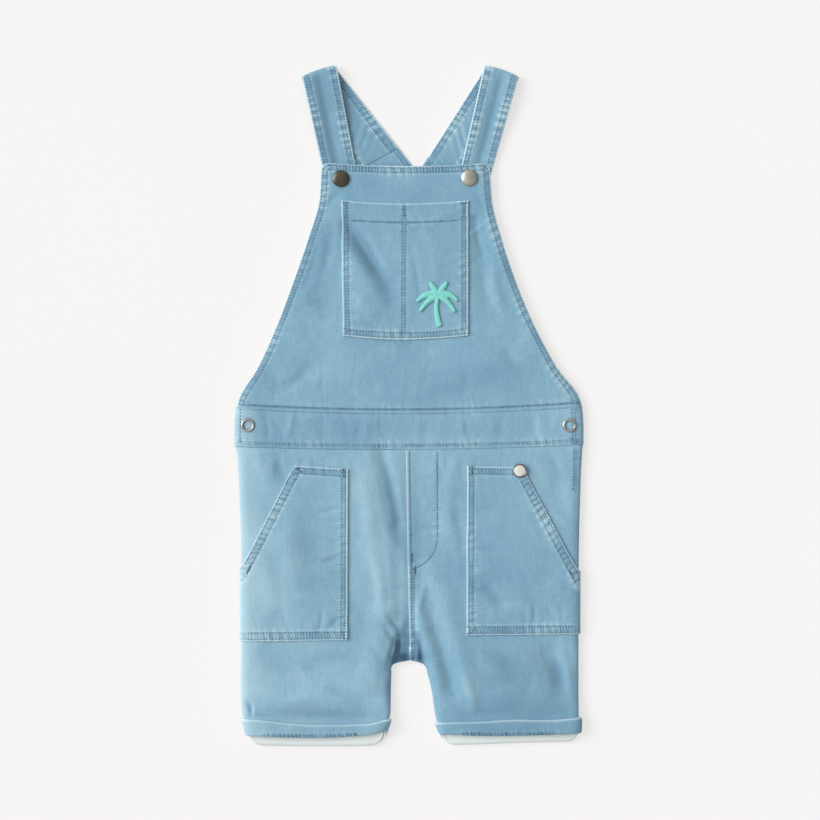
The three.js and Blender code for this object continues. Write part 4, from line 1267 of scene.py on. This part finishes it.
def neckline(x):
    """The back's top edge: up from the V on both sides, then along the strap seams."""
    total = np.zeros(x.shape)
    for which, here in (("left", x < NECK_V[0]), ("right", x >= NECK_V[0])):
        inner, outer = STRAPS[which]["back"]["inner"], STRAPS[which]["back"]["outer"]
        up = (x - NECK_V[0]) / (inner[0] - NECK_V[0])
        arm = mix(inner[1], outer[1], (x - inner[0]) / (outer[0] - inner[0])) - ARM_GAP
        total = np.where(here, np.where(up < 1, mix(NECK_V[1], inner[1], up) - GAP, arm), total)
    return total


def back_bib_plan(step):
    level = BACK_SIDES["y"][0]
    y = along(WAIST_TOP["ends"] + TOUCH, level, SEAM_EDGE, SOFT_EDGE, step)
    x = across(back_side("left", y), back_side("right", y), SOFT_EDGE, SOFT_EDGE, step)
    v = share_of(y)[:, None]
    flat = mix(seam_line(WAIST_TOP, x) + TOUCH, level, v)
    return x, flat + (neckline(x) - level) * v**4


def marks(path, half, shift=0.0, ticks=0.3):
    """A seam that only the material shows, because the back lies flat on the table."""
    return band(path, half, rows=(), pull=0.0, shift=shift, ticks=ticks)


arm_y = np.linspace(3, 160, 50)
neck_x = np.linspace(-7.0, 13.5, 40)
SEAMS["back_bib"] = [
    band(np.column_stack([neck_x, neckline(neck_x)]), 1.5, rows=(-1, 1), shift=-3.2, pull=0.4),
    marks(np.column_stack([back_side("left", arm_y), arm_y]), 1.7, shift=-3.1),
    marks(np.column_stack([back_side("right", arm_y), arm_y])[::-1], 1.7, shift=-3.1),
    marks([(0, 3), (1, 80), (5, 163)], 1.6),
]
BACK_MARKS = {
    "waistband": [
        marks(waist_rows["top"] + (0, -3), 1.4),
        marks(waist_rows["bottom"] + (0, 3), 1.4, ticks=0.6),
    ],
    "leg_left": [marks([(-2.4, -33), (-0.7, -125), (0.4, -181)], 0.6, shift=1.6)],
    "leg_right": [marks([(-2.2, -33), (-0.7, -125), (0.7, -181)], 1.4, shift=3.0)],
}


def turned_fold(points):
    """Below the front's hem the cuff's fold shows the pale inside right round its edge."""
    rim = rim_distance(points, ("left", "right", "bottom"))
    return ease(2.4 - rim / 1.5) * ease((-233 - points[..., 1]) / 3)


def arm_height(x, y):
    """The back's height, and its arms a little higher where they meet the thicker straps."""
    arm = ease(np.abs(x - NECK_V[0]) / 9 - 0.6)
    return back_height(x, y) + (DOUBLE - CLOTH) * arm * ease(1 - (neckline(x) - y) / 9)


x, y = back_bib_plan(1.6)
cloth_piece("denim_back_bib", x, y, arm_height, CLOTH, ("left", "right"), wrong="",
            bands=SEAMS["back_bib"], material=denim_deep)
x, y = band_plan(back_side, 2.6)
cloth_piece("denim_back_waistband", x, y, back_height, CLOTH, (), wrong="upper", bands=BACK_MARKS["waistband"])
for which in SIDES:
    x, y, read = leg_plan(which, back_hem, 2.8)
    cloth_piece(f"denim_back_leg_{which}", x, y, back_height, CLOTH, (), sample=read, wrong="upper",
                bands=BACK_MARKS[f"leg_{which}"], pale=turned_fold)
    x, y, read = leg_plan(which, back_hem, 1.6, CUFF_TOP)
    cloth_piece(f"denim_cuff_back_{which}", x, y, back_height, CUFF, ("top", "bottom"),
                out=-CUFF_OUT, sample=read, worn={}, wrong="upper", pale=turned_fold)
print("back:", sizes_of("back"))

# %% [markdown]
# A strap is one flat tape of doubled cloth. It comes up from under the bib, turns over at the
# shoulder and runs down behind to the back's arm. Two edges are drawn as paths in space and the
# tape is ruled between them. A curve with a flat bevel could do this too, but it would twist where
# the two edges differ.

# %% The straps
# In STRAP, trough is how strongly painted shade darkens the trough down each strap's front, and wash shifts each
# strap's whole tone.
STRAP = {"front_z": 2.85, "back_z": DOUBLE / 2, "fold_r": 2.5, "bow": 1.3, "dent": 0.6, "reach": 0.35,
         "worn": 0.95, "wash": {"left": -0.05, "right": 0.2}, "trough": {"left": 0.5, "right": 0.25}}
STRAP_ROWS = {"front": 88, "fold": 26, "back": 64}
STRAP_WIDE, STRAP_SEAM, STRAP_HALF = 24, 3.0, 1.5


def strap_edge(ends, key, bow):
    """One edge of a strap: up the front, over half a circle, down the back."""
    front, shoulder, back = (np.array(ends[part][key], float) for part in ("front", "shoulder", "back"))
    q = np.linspace(0, 1, STRAP_ROWS["front"], endpoint=False)
    z = mix(STRAP["front_z"], STRAP["back_z"] + 2 * STRAP["fold_r"], ease((q - 0.3) / 0.62))
    rise = np.column_stack([np.outer(1 - q, front) + np.outer(q, shoulder), z])
    turn = np.linspace(0, np.pi, STRAP_ROWS["fold"])
    up, over = ((shoulder - end) / np.hypot(*(shoulder - end)) for end in (front, back))
    way = np.outer(1 - turn / np.pi, up) + np.outer(turn / np.pi, over)
    way /= np.hypot(*way.T)[:, None]
    z = STRAP["back_z"] + STRAP["fold_r"] * (1 + np.cos(turn))
    bend = np.column_stack([shoulder + way * ((STRAP["fold_r"] + bow) * np.sin(turn))[:, None], z])
    q = np.linspace(0, 1, STRAP_ROWS["back"] + 1)[1:]
    back = back + (back - shoulder) / np.hypot(*(back - shoulder)) * STRAP["reach"]
    fall = np.outer(1 - q, shoulder) + np.outer(q, back)
    return np.vstack([rise, bend, np.column_stack([fall, 0 * q + STRAP["back_z"]])])


def strap_grid(which):
    """The tape's middle surface, with a soft trough down its front."""
    ends = STRAPS[which]
    w = across([0], [24], SOFT_EDGE, SOFT_EDGE, 0.8)[0] / 24
    arch = 4 * w * (1 - w)
    plain = [strap_edge(ends, key, 0) for key in ("outer", "inner")]
    bowed = [strap_edge(ends, key, STRAP["bow"]) for key in ("outer", "inner")]
    ruled = [mix(a[:, None], b[:, None], w[None, :, None]) for a, b in (plain, bowed)]
    points = mix(ruled[0], ruled[1], arch[None, :, None])
    q = np.arange(len(points)) / STRAP_ROWS["front"]
    dent = STRAP["dent"] * np.sin(np.pi * np.clip(q, 0, 1)) * ease((q - 0.2) / 0.13)
    lengthwise = ease((q[:, None] - 0.05) / 0.25) * ease((1.08 - q[:, None]) / 0.15)
    trough = np.exp(-(((w[None, :] - 0.44) / 0.14) ** 2)) * lengthwise
    points[..., 2] -= dent[:, None] * arch[None, :] * 0.5 + 1.0 * trough
    if which == "right":
        return points[:, ::-1], w[::-1], trough[:, ::-1]
    return points, w, trough


def strap_ripple(s, share, off):
    """Puckers between the rows of stitches, less a groove along each row, and slanting swells where
    the strap runs down behind."""
    phase = s / 0.86 + 1.7 * np.sin(s / 5.3) + np.sign(share - 0.5) * 1.1
    fade = ease(1 - (np.abs(off) - 1) * STRAP_HALF / 4)
    uneven = 0.6 + 0.4 * np.sin(s / 7.9 + 3 * share)
    groove = 0.14 * np.exp(-(((np.abs(off) - 1) * STRAP_HALF / 0.7) ** 2))
    ripple = 0.46 * fade * uneven * (0.5 + 0.5 * np.sin(phase)) - groove
    slanting = (s + 30 * (share - 0.5)) / 8.2
    uneven = 0.5 + 0.5 * np.sin(s / 6.1 + 5 * share)
    swell = np.sin(6.28 * slanting + 2.4 * np.sin(s / 13)) * ease(1.2 - np.abs(share - 0.5) * 2.2)
    return ripple + ease((s - 86) / 8) * 0.13 * uneven * swell

def strap_piece(which):
    """Builds a strap. Returns its points and the share of its width at each column."""
    points, w, trough = strap_grid(which)
    share = w[None, :]
    length = np.r_[0, np.cumsum(np.linalg.norm(np.diff(points.mean(axis=1), axis=0), axis=1))]
    s = np.broadcast_to(length[:, None], points.shape[:2])
    edge = STRAP_WIDE * np.minimum(share, 1 - share) + 0 * s
    off = (edge - STRAP_SEAM) / STRAP_HALF
    ripple = strap_ripple(s, share, off)
    points = points + grid_normals(points) * ripple[..., None]
    points[..., 2] = np.maximum(points[..., 2], STRAP["back_z"])
    reach = 0.2 * ease(1 - (np.abs(off) - 1) / 2)
    seam = np.stack([s, off, reach], axis=-1)
    # Painted shade along the strap's trough, and on the ripples painted light on their crests and painted shade
    # between them.
    wash = STRAP["wash"][which] - STRAP["trough"][which] * trough
    inner, outer = (np.exp(-((STRAP_WIDE * part) ** 2)) for part in (1 - share, share))
    rim = STRAP["worn"] * inner + 0.3 * outer
    tone = np.stack([rim + 0 * s, 0 * s, wash + np.clip(ripple * 2.1 - 0.2, -0.5, 0.5)], axis=-1)
    piece = wall(f"denim_strap_{which}", points, DOUBLE, ("left", "right"), denim_deep, seam, tone, wrong="")
    PIECES[piece.name] = piece
    CUTS[piece.name] = (24.5, length[-1])
    return points, w


strap_points = {which: strap_piece(which) for which in SIDES}
print("straps:", sizes_of("strap"))

# %% [markdown]
# Every stitch is real geometry: a short capsule of thread whose ends dip into the cloth. The rows
# follow the same seam paths as the puckers. Instancing one stitch along a curve would be lighter on
# code, but these thousands of stitches are needed as one plain mesh for each piece of cloth.

# %% Stitches
STITCH, THREAD, FILL, STRAP_FILL = 2.2, 0.45, 0.56, 0.52


def row_paths(bands):
    """Each band's rows of stitches as plan paths."""
    return [beside(item["path"], row * item["half"]) for item in bands for row in item["rows"]]


def tack(x, y, angle, length=6.0, width=1.9, step=0.55):
    """A bar tack: close stitches across a short line. Returns starts and ends."""
    turn = np.radians(angle)
    along_way, side = np.array([np.cos(turn), np.sin(turn)]), np.array([-np.sin(turn), np.cos(turn)])
    middle = np.array([x, y]) + np.outer(np.arange(-length / 2, length / 2 + 0.01, step), along_way)
    return middle - side * width / 2, middle + side * width / 2 + along_way * 0.25


def stitch_ends(path):
    """Starts and ends of the stitches on a path, each a little uneven, up to the side seams."""
    points = resample(path, STITCH)
    margin = np.where(points[:, 1] < 0, 1.6, -9)
    inside = points[:, 0] > front_side["left"](points[:, 1]) + margin
    points = points[inside & (points[:, 0] < front_side["right"](points[:, 1]) - margin)]
    share = FILL * random.uniform(0.75, 1.15, (len(points) - 1, 1))
    starts, ends = points[:-1], points[:-1] + (points[1:] - points[:-1]) * share
    wobble = random.normal(0, 0.07, starts.shape)
    return starts + wobble, ends - wobble


def capsules(starts, ends, ups, radius=THREAD):
    """Joined capsules: six sides and five rings each, the outer rings small and sunk."""
    rings = np.array([[0, 0.15, -0.75], [0.1, 0.75, -0.3], [0.5, 1.0, 0.25], [0.9, 0.75, -0.3], [1, 0.15, -0.75]])
    way = ends - starts
    side = np.cross(way, ups)
    side /= np.linalg.norm(side, axis=1, keepdims=True)
    turn = np.arange(6) / 6 * 2 * np.pi
    along_part = starts[:, None] + way[:, None] * rings[None, :, :1]
    along_part = along_part + ups[:, None] * (rings[None, :, 2:] * radius)
    section = side[:, None] * np.cos(turn)[None, :, None] + ups[:, None] * np.sin(turn)[None, :, None] * 0.8
    points = along_part[:, :, None] + section[:, None] * (rings[None, :, 1] * radius)[..., None, None]
    count = len(starts)
    at = np.arange(count * 30).reshape(count, 5, 6)
    turned_on = np.roll(at, -1, axis=2)
    sides = np.stack([at[:, :-1], turned_on[:, :-1], turned_on[:, 1:], at[:, 1:]], axis=-1).reshape(-1, 4)
    first, last = at[:, 0], at[:, -1]
    caps = [first[:, [3, 2, 1, 0]], first[:, [5, 4, 3, 0]], last[:, [0, 1, 2, 3]], last[:, [0, 3, 4, 5]]]
    return points.reshape(-1, 3), np.vstack([sides, *caps])


def sew(name, cloth, starts, ends, ups=None):
    """Stitches as one mesh on a piece of cloth. The starts and ends have heights already."""
    ups = np.broadcast_to([0.0, 0.0, 1.0], starts.shape) if ups is None else ups
    points, faces = capsules(starts, ends, ups)
    piece = mesh_of(name, points, faces, thread, {})
    STITCHES.setdefault(cloth, []).append(piece)
    return len(starts)


def on_cloth(cloth, plan):
    """Plan points lifted onto the upper face of a piece of cloth."""
    return np.column_stack([plan, TOPS[cloth](plan[:, 0], plan[:, 1])])


STITCHES = {}
p = BIB_POCKET
pocket_middle = (p["left"] + p["right"]) / 2 - 0.6
TACKS = {
    "bib_pocket": [
        (p["left"] + 3.4, p["top"] - 1.9, 0, 5, 1.2, 1.1),
        (p["right"] - 3.4, p["top"] - 1.9, 0, 5, 1.2, 1.1),
        (p["left"] + 3.3, p["top"] - 7.5, 90, 9, 1.6, 1.5),
        (p["right"] - 3.3, p["top"] - 7.5, 90, 9, 1.6, 1.5),
        (pocket_middle, p["top"] + p["dip"] - 5.5, 90, 9, 1.9, 1.3),
    ],
    "hip_pocket_left": [(-79, -46, 150), (-47, -48, 90), (-115, -117, 62)],
    "hip_pocket_right": [(45, -46, 90), (116.5, -121, -62)],
    "front_leg_right": [(1.8, -109, 90), (4.4, -117.6, 90)],
}
sewn = 0
for cloth, bands in SEAMS.items():
    pairs = [stitch_ends(path) for path in row_paths(bands)]
    pairs += [tack(*row) for row in TACKS.get(cloth, ())]
    if pairs:
        starts, ends = (np.vstack([pair[k] for pair in pairs]) for k in (0, 1))
        label = "denim_" + cloth
        sewn += sew("stitches_" + cloth, label, on_cloth(label, starts), on_cloth(label, ends))
print("stitches on the panels:", sewn)

# %% Stitches on the straps


def strap_rows(which):
    """Two rows along each edge of a strap, on its outer face, and the same on its inner face behind."""
    points, w = strap_points[which]
    normal = grid_normals(points)
    front = np.arange(6, STRAP_ROWS["front"] + 10)
    behind = np.arange(STRAP_ROWS["front"] + 20, len(points) - 2)
    starts, ends, ups = [], [], []
    for off in (1.5, 4.5):
        for share in (off / STRAP_WIDE, 1 - off / STRAP_WIDE):
            j = int(np.argmin(np.abs(w - share)))
            for rows, face in ((front, 1), (behind, -1)):
                line = points[rows, j] + normal[rows, j] * (face * DOUBLE / 2)
                length = np.r_[0, np.cumsum(np.linalg.norm(np.diff(line, axis=0), axis=1))]
                at = np.arange(0.5, length[-1] - STITCH, STITCH)
                pick = lambda s, values: np.column_stack([np.interp(s, length, values[:, k]) for k in range(3)])
                starts.append(pick(at, line))
                ends.append(pick(at + STITCH * STRAP_FILL, line))
                up = pick(at, normal[rows, j] * face)
                ups.append(up / np.linalg.norm(up, axis=1, keepdims=True))
    return np.vstack(starts), np.vstack(ends), np.vstack(ups)


for which in SIDES:
    sewn += sew(f"stitches_strap_{which}", f"denim_strap_{which}", *strap_rows(which))
print("stitches in all:", sewn)

# %% [markdown]
# The snaps are turned from sheet metal: an aged brass cap and a bright nickel one on the bib, two
# open ring snaps at the waistband's ends, and a pearl rivet at one hip pocket. Each is a profile
# spun round its axis. Their metals differ by colour, wear and roughness.

# %% Metals


def metal_material(name, low, high, roughness, scratches=0.15, metallic=1.0):
    """Metal whose colour and polish vary with blotches and fine scratches."""
    material, tree, shader = new_material(name)
    blotch = noise(tree, 0.12, 2.0, 0.5)
    fine = noise(tree, 1.0, 2.0, grain=(1.2, 0.4, 1))
    tree.links.new(tint(tree, stretch(tree, 0.2, 0.8, blotch), low, high), shader.inputs["Base Color"])
    tree.links.new(stretch(tree, 0.3, 0.7, fine, roughness, roughness + 0.06), shader.inputs["Roughness"])
    shader.inputs["Metallic"].default_value = metallic
    bump = add(tree, "ShaderNodeBump", {"Strength": scratches, "Distance": 0.04 * MM, "Height": fine})
    tree.links.new(bump.outputs[0], shader.inputs["Normal"])
    return material


METALS = {
    "cap_dark": metal_material("Aged dark brass", (0.07, 0.066, 0.045, 1), (0.125, 0.117, 0.08, 1), 0.33),
    "cap_bright": metal_material("Bright nickel", (0.38, 0.375, 0.325, 1), (0.53, 0.525, 0.455, 1), 0.32),
    "ring_metal": metal_material("Nickel ring", (0.34, 0.33, 0.31, 1), (0.5, 0.49, 0.46, 1), 0.26),
    "rivet_metal": metal_material("Pearl cap", (0.62, 0.63, 0.56, 1), (0.8, 0.81, 0.74, 1), 0.26, 0.2, 0.25),
    "rivet_rim": metal_material("Rivet rim", (0.16, 0.15, 0.13, 1), (0.34, 0.32, 0.29, 1), 0.28),
}
print("metals:", ", ".join(METALS))

# %% Turned pieces
SPIN = 64


def turned(name, profile, centre, material):
    """Spins a profile of (radius, height) points round a vertical axis. The first and the last
    point lie almost on the axis, or the profile comes back to its start to make a ring."""
    ring = np.array(profile, float)
    turn = np.arange(SPIN) / SPIN * 2 * np.pi
    flat = np.stack([np.outer(ring[:, 0], np.cos(turn)), np.outer(ring[:, 0], np.sin(turn))], axis=-1)
    height = np.broadcast_to(ring[:, 1, None, None], flat.shape[:2] + (1,))
    points = np.concatenate([flat, height], axis=2) + np.array(centre)
    at = np.arange(points.shape[0] * SPIN).reshape(-1, SPIN)
    if np.allclose(ring[0], ring[-1]):
        points, at = points[:-1], np.vstack([at[:-1], at[:1]])
    onward = np.roll(at, -1, axis=1)
    faces = np.stack([at[:-1], onward[:-1], onward[1:], at[1:]], axis=-1).reshape(-1, 4)
    piece = mesh_of(name, points.reshape(-1, 3), faces, material, {})
    return piece


def curve_through(points, steps=5):
    """A profile rounded by a smooth curve through its points, by their running length."""
    points = np.array(points, float)
    length = np.r_[0, np.cumsum(np.hypot(*np.diff(points, axis=0).T))]
    s = np.unique(np.concatenate([np.linspace(a, b, steps) for a, b in zip(length[:-1], length[1:])]))
    return np.column_stack([smooth(length, points[:, 0])(s), smooth(length, points[:, 1])(s)])


def seat(node):
    """The middle of a node's foot in millimetres, from the frame."""
    low, high = (np.array(corner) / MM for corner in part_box(node))
    return [(low[0] + high[0]) / 2, (low[1] + high[1]) / 2, low[2]]


CAP_PROFILE = [(0.01, 0), (5.4, 0), (5.9, 0.25), (6.0, 0.6), (5.85, 0.95), (5.2, 1.35), (4.2, 1.7), (3.0, 1.95),
               (1.5, 2.13), (0.01, 2.2)]
RIVET_RIM = [(0.01, 0), (4.6, 0), (5.0, 0.4), (4.95, 0.95), (4.6, 1.25), (4.25, 1.2), (4.0, 0.7), (0.01, 0.7)]
RIVET_PEARL = [(0.01, 0.72), (3.7, 0.72), (4.0, 0.95), (3.95, 1.15), (3.6, 1.35), (2.4, 1.53), (1.2, 1.59),
               (0.01, 1.6)]
RING_PROFILE = [(3.2, 0), (4.8, 0), (5.0, 0.3), (4.9, 0.75), (4.5, 1.04), (4.0, 1.1), (3.5, 1.04), (3.1, 0.75),
                (3.0, 0.3), (3.2, 0)]
FASTENERS = [
    ("bib_cap_left", CAP_PROFILE, "cap_dark"),
    ("bib_cap_right", CAP_PROFILE, "cap_bright"),
    ("ring_snap_left", RING_PROFILE, "ring_metal"),
    ("ring_snap_right", RING_PROFILE, "ring_metal"),
    ("pocket_rivet", RIVET_PEARL, "rivet_metal"),
]
for node, profile, finish in FASTENERS:
    shape = np.array(profile) if "ring" in node else curve_through(profile)
    piece = turned("turned_" + node, shape, seat(node), METALS[finish])
    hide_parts(node)
rim = turned("turned_rivet_rim", RIVET_RIM, seat("pocket_rivet"), METALS["rivet_rim"])
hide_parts("pocket_rivet")
print("turned pieces:", len(FASTENERS))

# %% [markdown]
# The palm on the bib pocket is a small puffed motif in mint. Its trunk and fronds
# are drawn as bars along short curves, then melted into one puffy body by a voxel remesh, which
# rounds the places where they meet. Its own design is a plain palm of six fronds.

# %% The palm
PALM = {"crown": (20.6, 78.6), "foot": (22, 57), "bend": 1.6, "thick": 1.4}
# Columns: angle, length, droop, half width
FRONDS = [
    (-8, 12.5, 9.5, 1.8), (33, 17, 12.5, 2), (62, 14.5, 2.5, 1.9),
    (113, 15, 3.5, 1.9), (148, 17.5, 13, 2), (188, 13, 9, 1.8),
]



def bar(path, half, thick):
    """A rounded bar along a plan path, given its half width at each point; flat below."""
    way = np.gradient(path, axis=0)
    way /= np.hypot(*way.T)[:, None]
    side = np.column_stack([-way[:, 1], way[:, 0]])
    turn = np.linspace(0, np.pi, 11)
    out = half[:, None] * np.cos(turn)[None, :]
    z = thick * (0.22 + 0.78 * np.sin(turn)[None, :] ** 0.8) * (out * 0 + 1)
    z[:, [0, -1]] = 0
    flat = path[:, None] + side[:, None] * out[..., None]
    return np.concatenate([flat, z[..., None]], axis=2)


def bar_faces(rows, columns):
    at = np.arange(rows * columns).reshape(rows, columns)
    onward = np.roll(at, -1, axis=1)
    sides = np.stack([at[:-1], onward[:-1], onward[1:], at[1:]], axis=-1).reshape(-1, 4)
    return [tuple(face) for face in sides.tolist()] + [tuple(at[0][::-1].tolist()), tuple(at[-1].tolist())]


def palm_paths():
    q = np.linspace(0, 1, 16)
    (cx, cy), (fx, fy) = PALM["crown"], PALM["foot"]
    shapes = []
    for angle, length, droop, half in FRONDS:
        turn = np.radians(angle)
        path = np.column_stack([cx + length * q * np.cos(turn), cy + length * q * np.sin(turn) - droop * q * q])
        shapes.append((path, half * (0.78 + 0.5 * np.sin(np.pi * q**0.8)) * (1 - 0.2 * q)))
    trunk = np.column_stack([mix(cx, fx, q) - PALM["bend"] * np.sin(q * np.pi), mix(cy, fy, q)])
    shapes.append((trunk, mix(1.4, 2.3, q)))
    return shapes


def palm_piece(material):
    points, faces = [], []
    for path, half in palm_paths():
        grid = bar(path, half, PALM["thick"])
        faces += [tuple(k + len(points) for k in face) for face in bar_faces(*grid.shape[:2])]
        points += grid.reshape(-1, 3).tolist()
    mesh = bpy.data.meshes.new("palm bars")
    mesh.from_pydata((np.array(points) * MM).tolist(), [], faces)
    rough = bpy.data.objects.new("palm bars", mesh)
    bpy.context.scene.collection.objects.link(rough)
    melt = rough.modifiers.new("melt", "REMESH")
    melt.mode, melt.voxel_size = "VOXEL", 0.33 * MM
    soften = rough.modifiers.new("soften", "SMOOTH")
    soften.factor, soften.iterations = 0.5, 4
    done = rough.evaluated_get(bpy.context.evaluated_depsgraph_get())
    palm = bpy.data.meshes.new_from_object(done)
    co = np.empty(len(palm.vertices) * 3, np.float32)
    palm.vertices.foreach_get("co", co)
    co = co.reshape(-1, 3).astype(float) / MM
    lift = palm.attributes.new("lift", "FLOAT", "POINT")
    lift.data.foreach_set("value", (co[:, 2] / PALM["thick"]).astype(np.float32))
    seated = TOPS["denim_bib_pocket"](co[:, 0], co[:, 1])
    co[:, 2] += seated + 0.05
    palm.vertices.foreach_set("co", (co * MM).astype(np.float32).ravel())
    palm.materials.clear()
    palm.materials.append(material)
    palm.polygons.foreach_set("use_smooth", np.ones(len(palm.polygons), bool))
    palm.update()
    bpy.data.objects.remove(rough)
    piece = bpy.data.objects.new("palm_patch", palm)
    bpy.context.scene.collection.objects.link(piece)
    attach(piece, "root")
    return piece


def terry_material():
    """Mint terry: small loops as bumps, with painted shade that deepens the green low down, so the tops look
    paler.
    """
    material, tree, shader = new_material("Mint terry")
    loops = noise(tree, 1.5, 2.0, 0.7)
    patch = noise(tree, 0.2, 2.0)
    pale, deep = (0.28, 0.69, 0.635, 1), (0.11, 0.53, 0.45, 1)
    colour = tint(tree, stretch(tree, 0.3, 0.7, loops), deep, pale)
    colour = tint(tree, times(tree, patch, 0.35), colour, pale)
    lift = add(tree, "ShaderNodeAttribute", attribute_name="lift").outputs["Fac"]
    # Painted shade: the lower a point lies on its bar, the deeper the green, at the fronds' edges and where they
    # meet.
    colour = tint(tree, stretch(tree, 0.78, 0.2, lift, 0.0, 0.8), colour, (0.06, 0.36, 0.32, 1))
    tree.links.new(colour, shader.inputs["Base Color"])
    tree.links.new(stretch(tree, 0, 1, loops, 0.7, 0.9), shader.inputs["Roughness"])
    shader.inputs["Sheen Weight"].default_value = 0.3
    bump = add(tree, "ShaderNodeBump", {"Strength": 0.7, "Distance": 0.3 * MM, "Height": loops})
    tree.links.new(bump.outputs[0], shader.inputs["Normal"])
    return material


palm = palm_piece(terry_material())
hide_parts("palm_applique")
print("palm faces:", len(palm.data.polygons))

# %% [markdown]
# Each cloth piece stands for one of the frame's nodes, whose own mesh is hidden. The table gives how large
# each flat panel was cut, in metres, and where a panel isn't a rectangle, its area as well; nothing uses these
# sizes here.

# %% Cloth and its cut
CLOTH_CUTS = {
    "front_bib": (0.246, 0.178, 0.0280),
    "back_bib": (0.245, 0.182, 0.0249),
    "front_waistband": (0.262, 0.030, None),
    "back_waistband": (0.262, 0.030, None),
    "front_leg_left": (0.132, 0.208, 0.0230),
    "front_leg_right": (0.132, 0.208, 0.0230),
    "back_leg_left": (0.132, 0.214, 0.0236),
    "back_leg_right": (0.132, 0.214, 0.0236),
    "cuff_front_left": (0.104, 0.0125, None),
    "cuff_front_right": (0.101, 0.012, None),
    "cuff_back_left": (0.104, 0.0185, None),
    "cuff_back_right": (0.101, 0.0185, None),
    "bib_pocket": (0.092, 0.098, None),
    "hip_pocket_left": (0.080, 0.126, 0.0078),
    "hip_pocket_right": (0.082, 0.120, 0.0076),
    "strap_left": (0.0255, 0.170, None),
    "strap_right": (0.0255, 0.170, None),
}
for node, (width, length, area) in CLOTH_CUTS.items():
    piece = PIECES["denim_" + node]
    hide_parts(node)
print("sheets declared:", len(CLOTH_CUTS))

# %% [markdown]
# The garment lies on a plain white table, seen from straight above. A large soft lamp stands at the
# upper left, so that each fold has a lit and a shaded side, and a bright sky fills the shadows.

# %% Table, light and camera
TABLE = -0.05 * MM


def table_top():
    """A white sheet just below the cloth, glowing a little, and clear when seen from below."""
    mesh = bpy.data.meshes.new("table top")
    reach = 12.0
    corners = [(-reach, -reach, TABLE), (reach, -reach, TABLE), (reach, reach, TABLE), (-reach, reach, TABLE)]
    mesh.from_pydata(corners, [], [(0, 1, 2, 3)])
    material, tree, shader = new_material("White table")
    faint = noise(tree, 0.004, 1.0)
    white = tint(tree, faint, (0.285, 0.281, 0.278, 1), (0.295, 0.291, 0.288, 1))
    tree.links.new(white, shader.inputs["Base Color"])
    shader.inputs["Emission Color"].default_value = (1, 0.985, 0.976, 1)
    shader.inputs["Emission Strength"].default_value = 0.617
    shader.inputs["Roughness"].default_value = 0.9
    shader.inputs["Specular IOR Level"].default_value = 0.1
    below = add(tree, "ShaderNodeNewGeometry").outputs["Backfacing"]
    clear = add(tree, "ShaderNodeBsdfTransparent").outputs[0]
    both = add(tree, "ShaderNodeMixShader", {0: below, 1: shader.outputs[0], 2: clear})
    tree.links.new(both.outputs[0], tree.nodes["Material Output"].inputs["Surface"])
    mesh.materials.append(material)
    piece = bpy.data.objects.new("table_top", mesh)
    bpy.context.scene.collection.objects.link(piece)
    piece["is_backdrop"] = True
    return piece


def sunlight(name, toward, strength, width):
    """A distant lamp as wide as a soft box, in degrees, that shines from a direction."""
    light = bpy.data.lights.new(name, "SUN")
    light.energy, light.angle = strength, np.radians(width)
    holder = bpy.data.objects.new(name, light)
    holder.rotation_euler = Vector(toward).to_track_quat("Z", "Y").to_euler()
    bpy.context.scene.collection.objects.link(holder)
    return holder


def sky_world():
    """A bright room: the sky is brighter towards the window than away from it."""
    sky = bpy.data.worlds.new("bright room")
    sky.use_nodes = True
    tree = sky.node_tree
    way = add(tree, "ShaderNodeTexCoord").outputs["Generated"]
    toward = Vector(WINDOW).normalized()
    facing = add(tree, "ShaderNodeVectorMath", {0: way, 1: toward}, operation="DOT_PRODUCT").outputs["Value"]
    background = tree.nodes["Background"]
    background.inputs["Color"].default_value = (1.0, 0.995, 0.985, 1)
    tree.links.new(stretch(tree, -0.9, 1.0, facing, 0.12, 0.84), background.inputs["Strength"])
    return sky


WINDOW = (-0.78, 0.24, 0.6)
table_top()
sunlight("window", WINDOW, 2.35, 36)
sky = sky_world()
bpy.context.scene.world = sky
bpy.context.scene.view_settings.view_transform = "Standard"
lens = bpy.data.cameras.new("camera")
lens.lens, lens.sensor_width = 100, 36
lens.clip_end = 20
camera = bpy.data.objects.new("camera", lens)
camera.location = (0.72 * MM, -2.88 * MM, 1.64)
bpy.context.scene.collection.objects.link(camera)
bpy.context.scene.camera = camera
print("camera above", [round(c / MM, 2) for c in camera.location[:2]])

# %% Sizes, then the end
triangles = sum(sum(len(f.vertices) - 2 for f in piece.data.polygons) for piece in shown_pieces() if piece.type == "MESH")
print("triangles:", triangles)
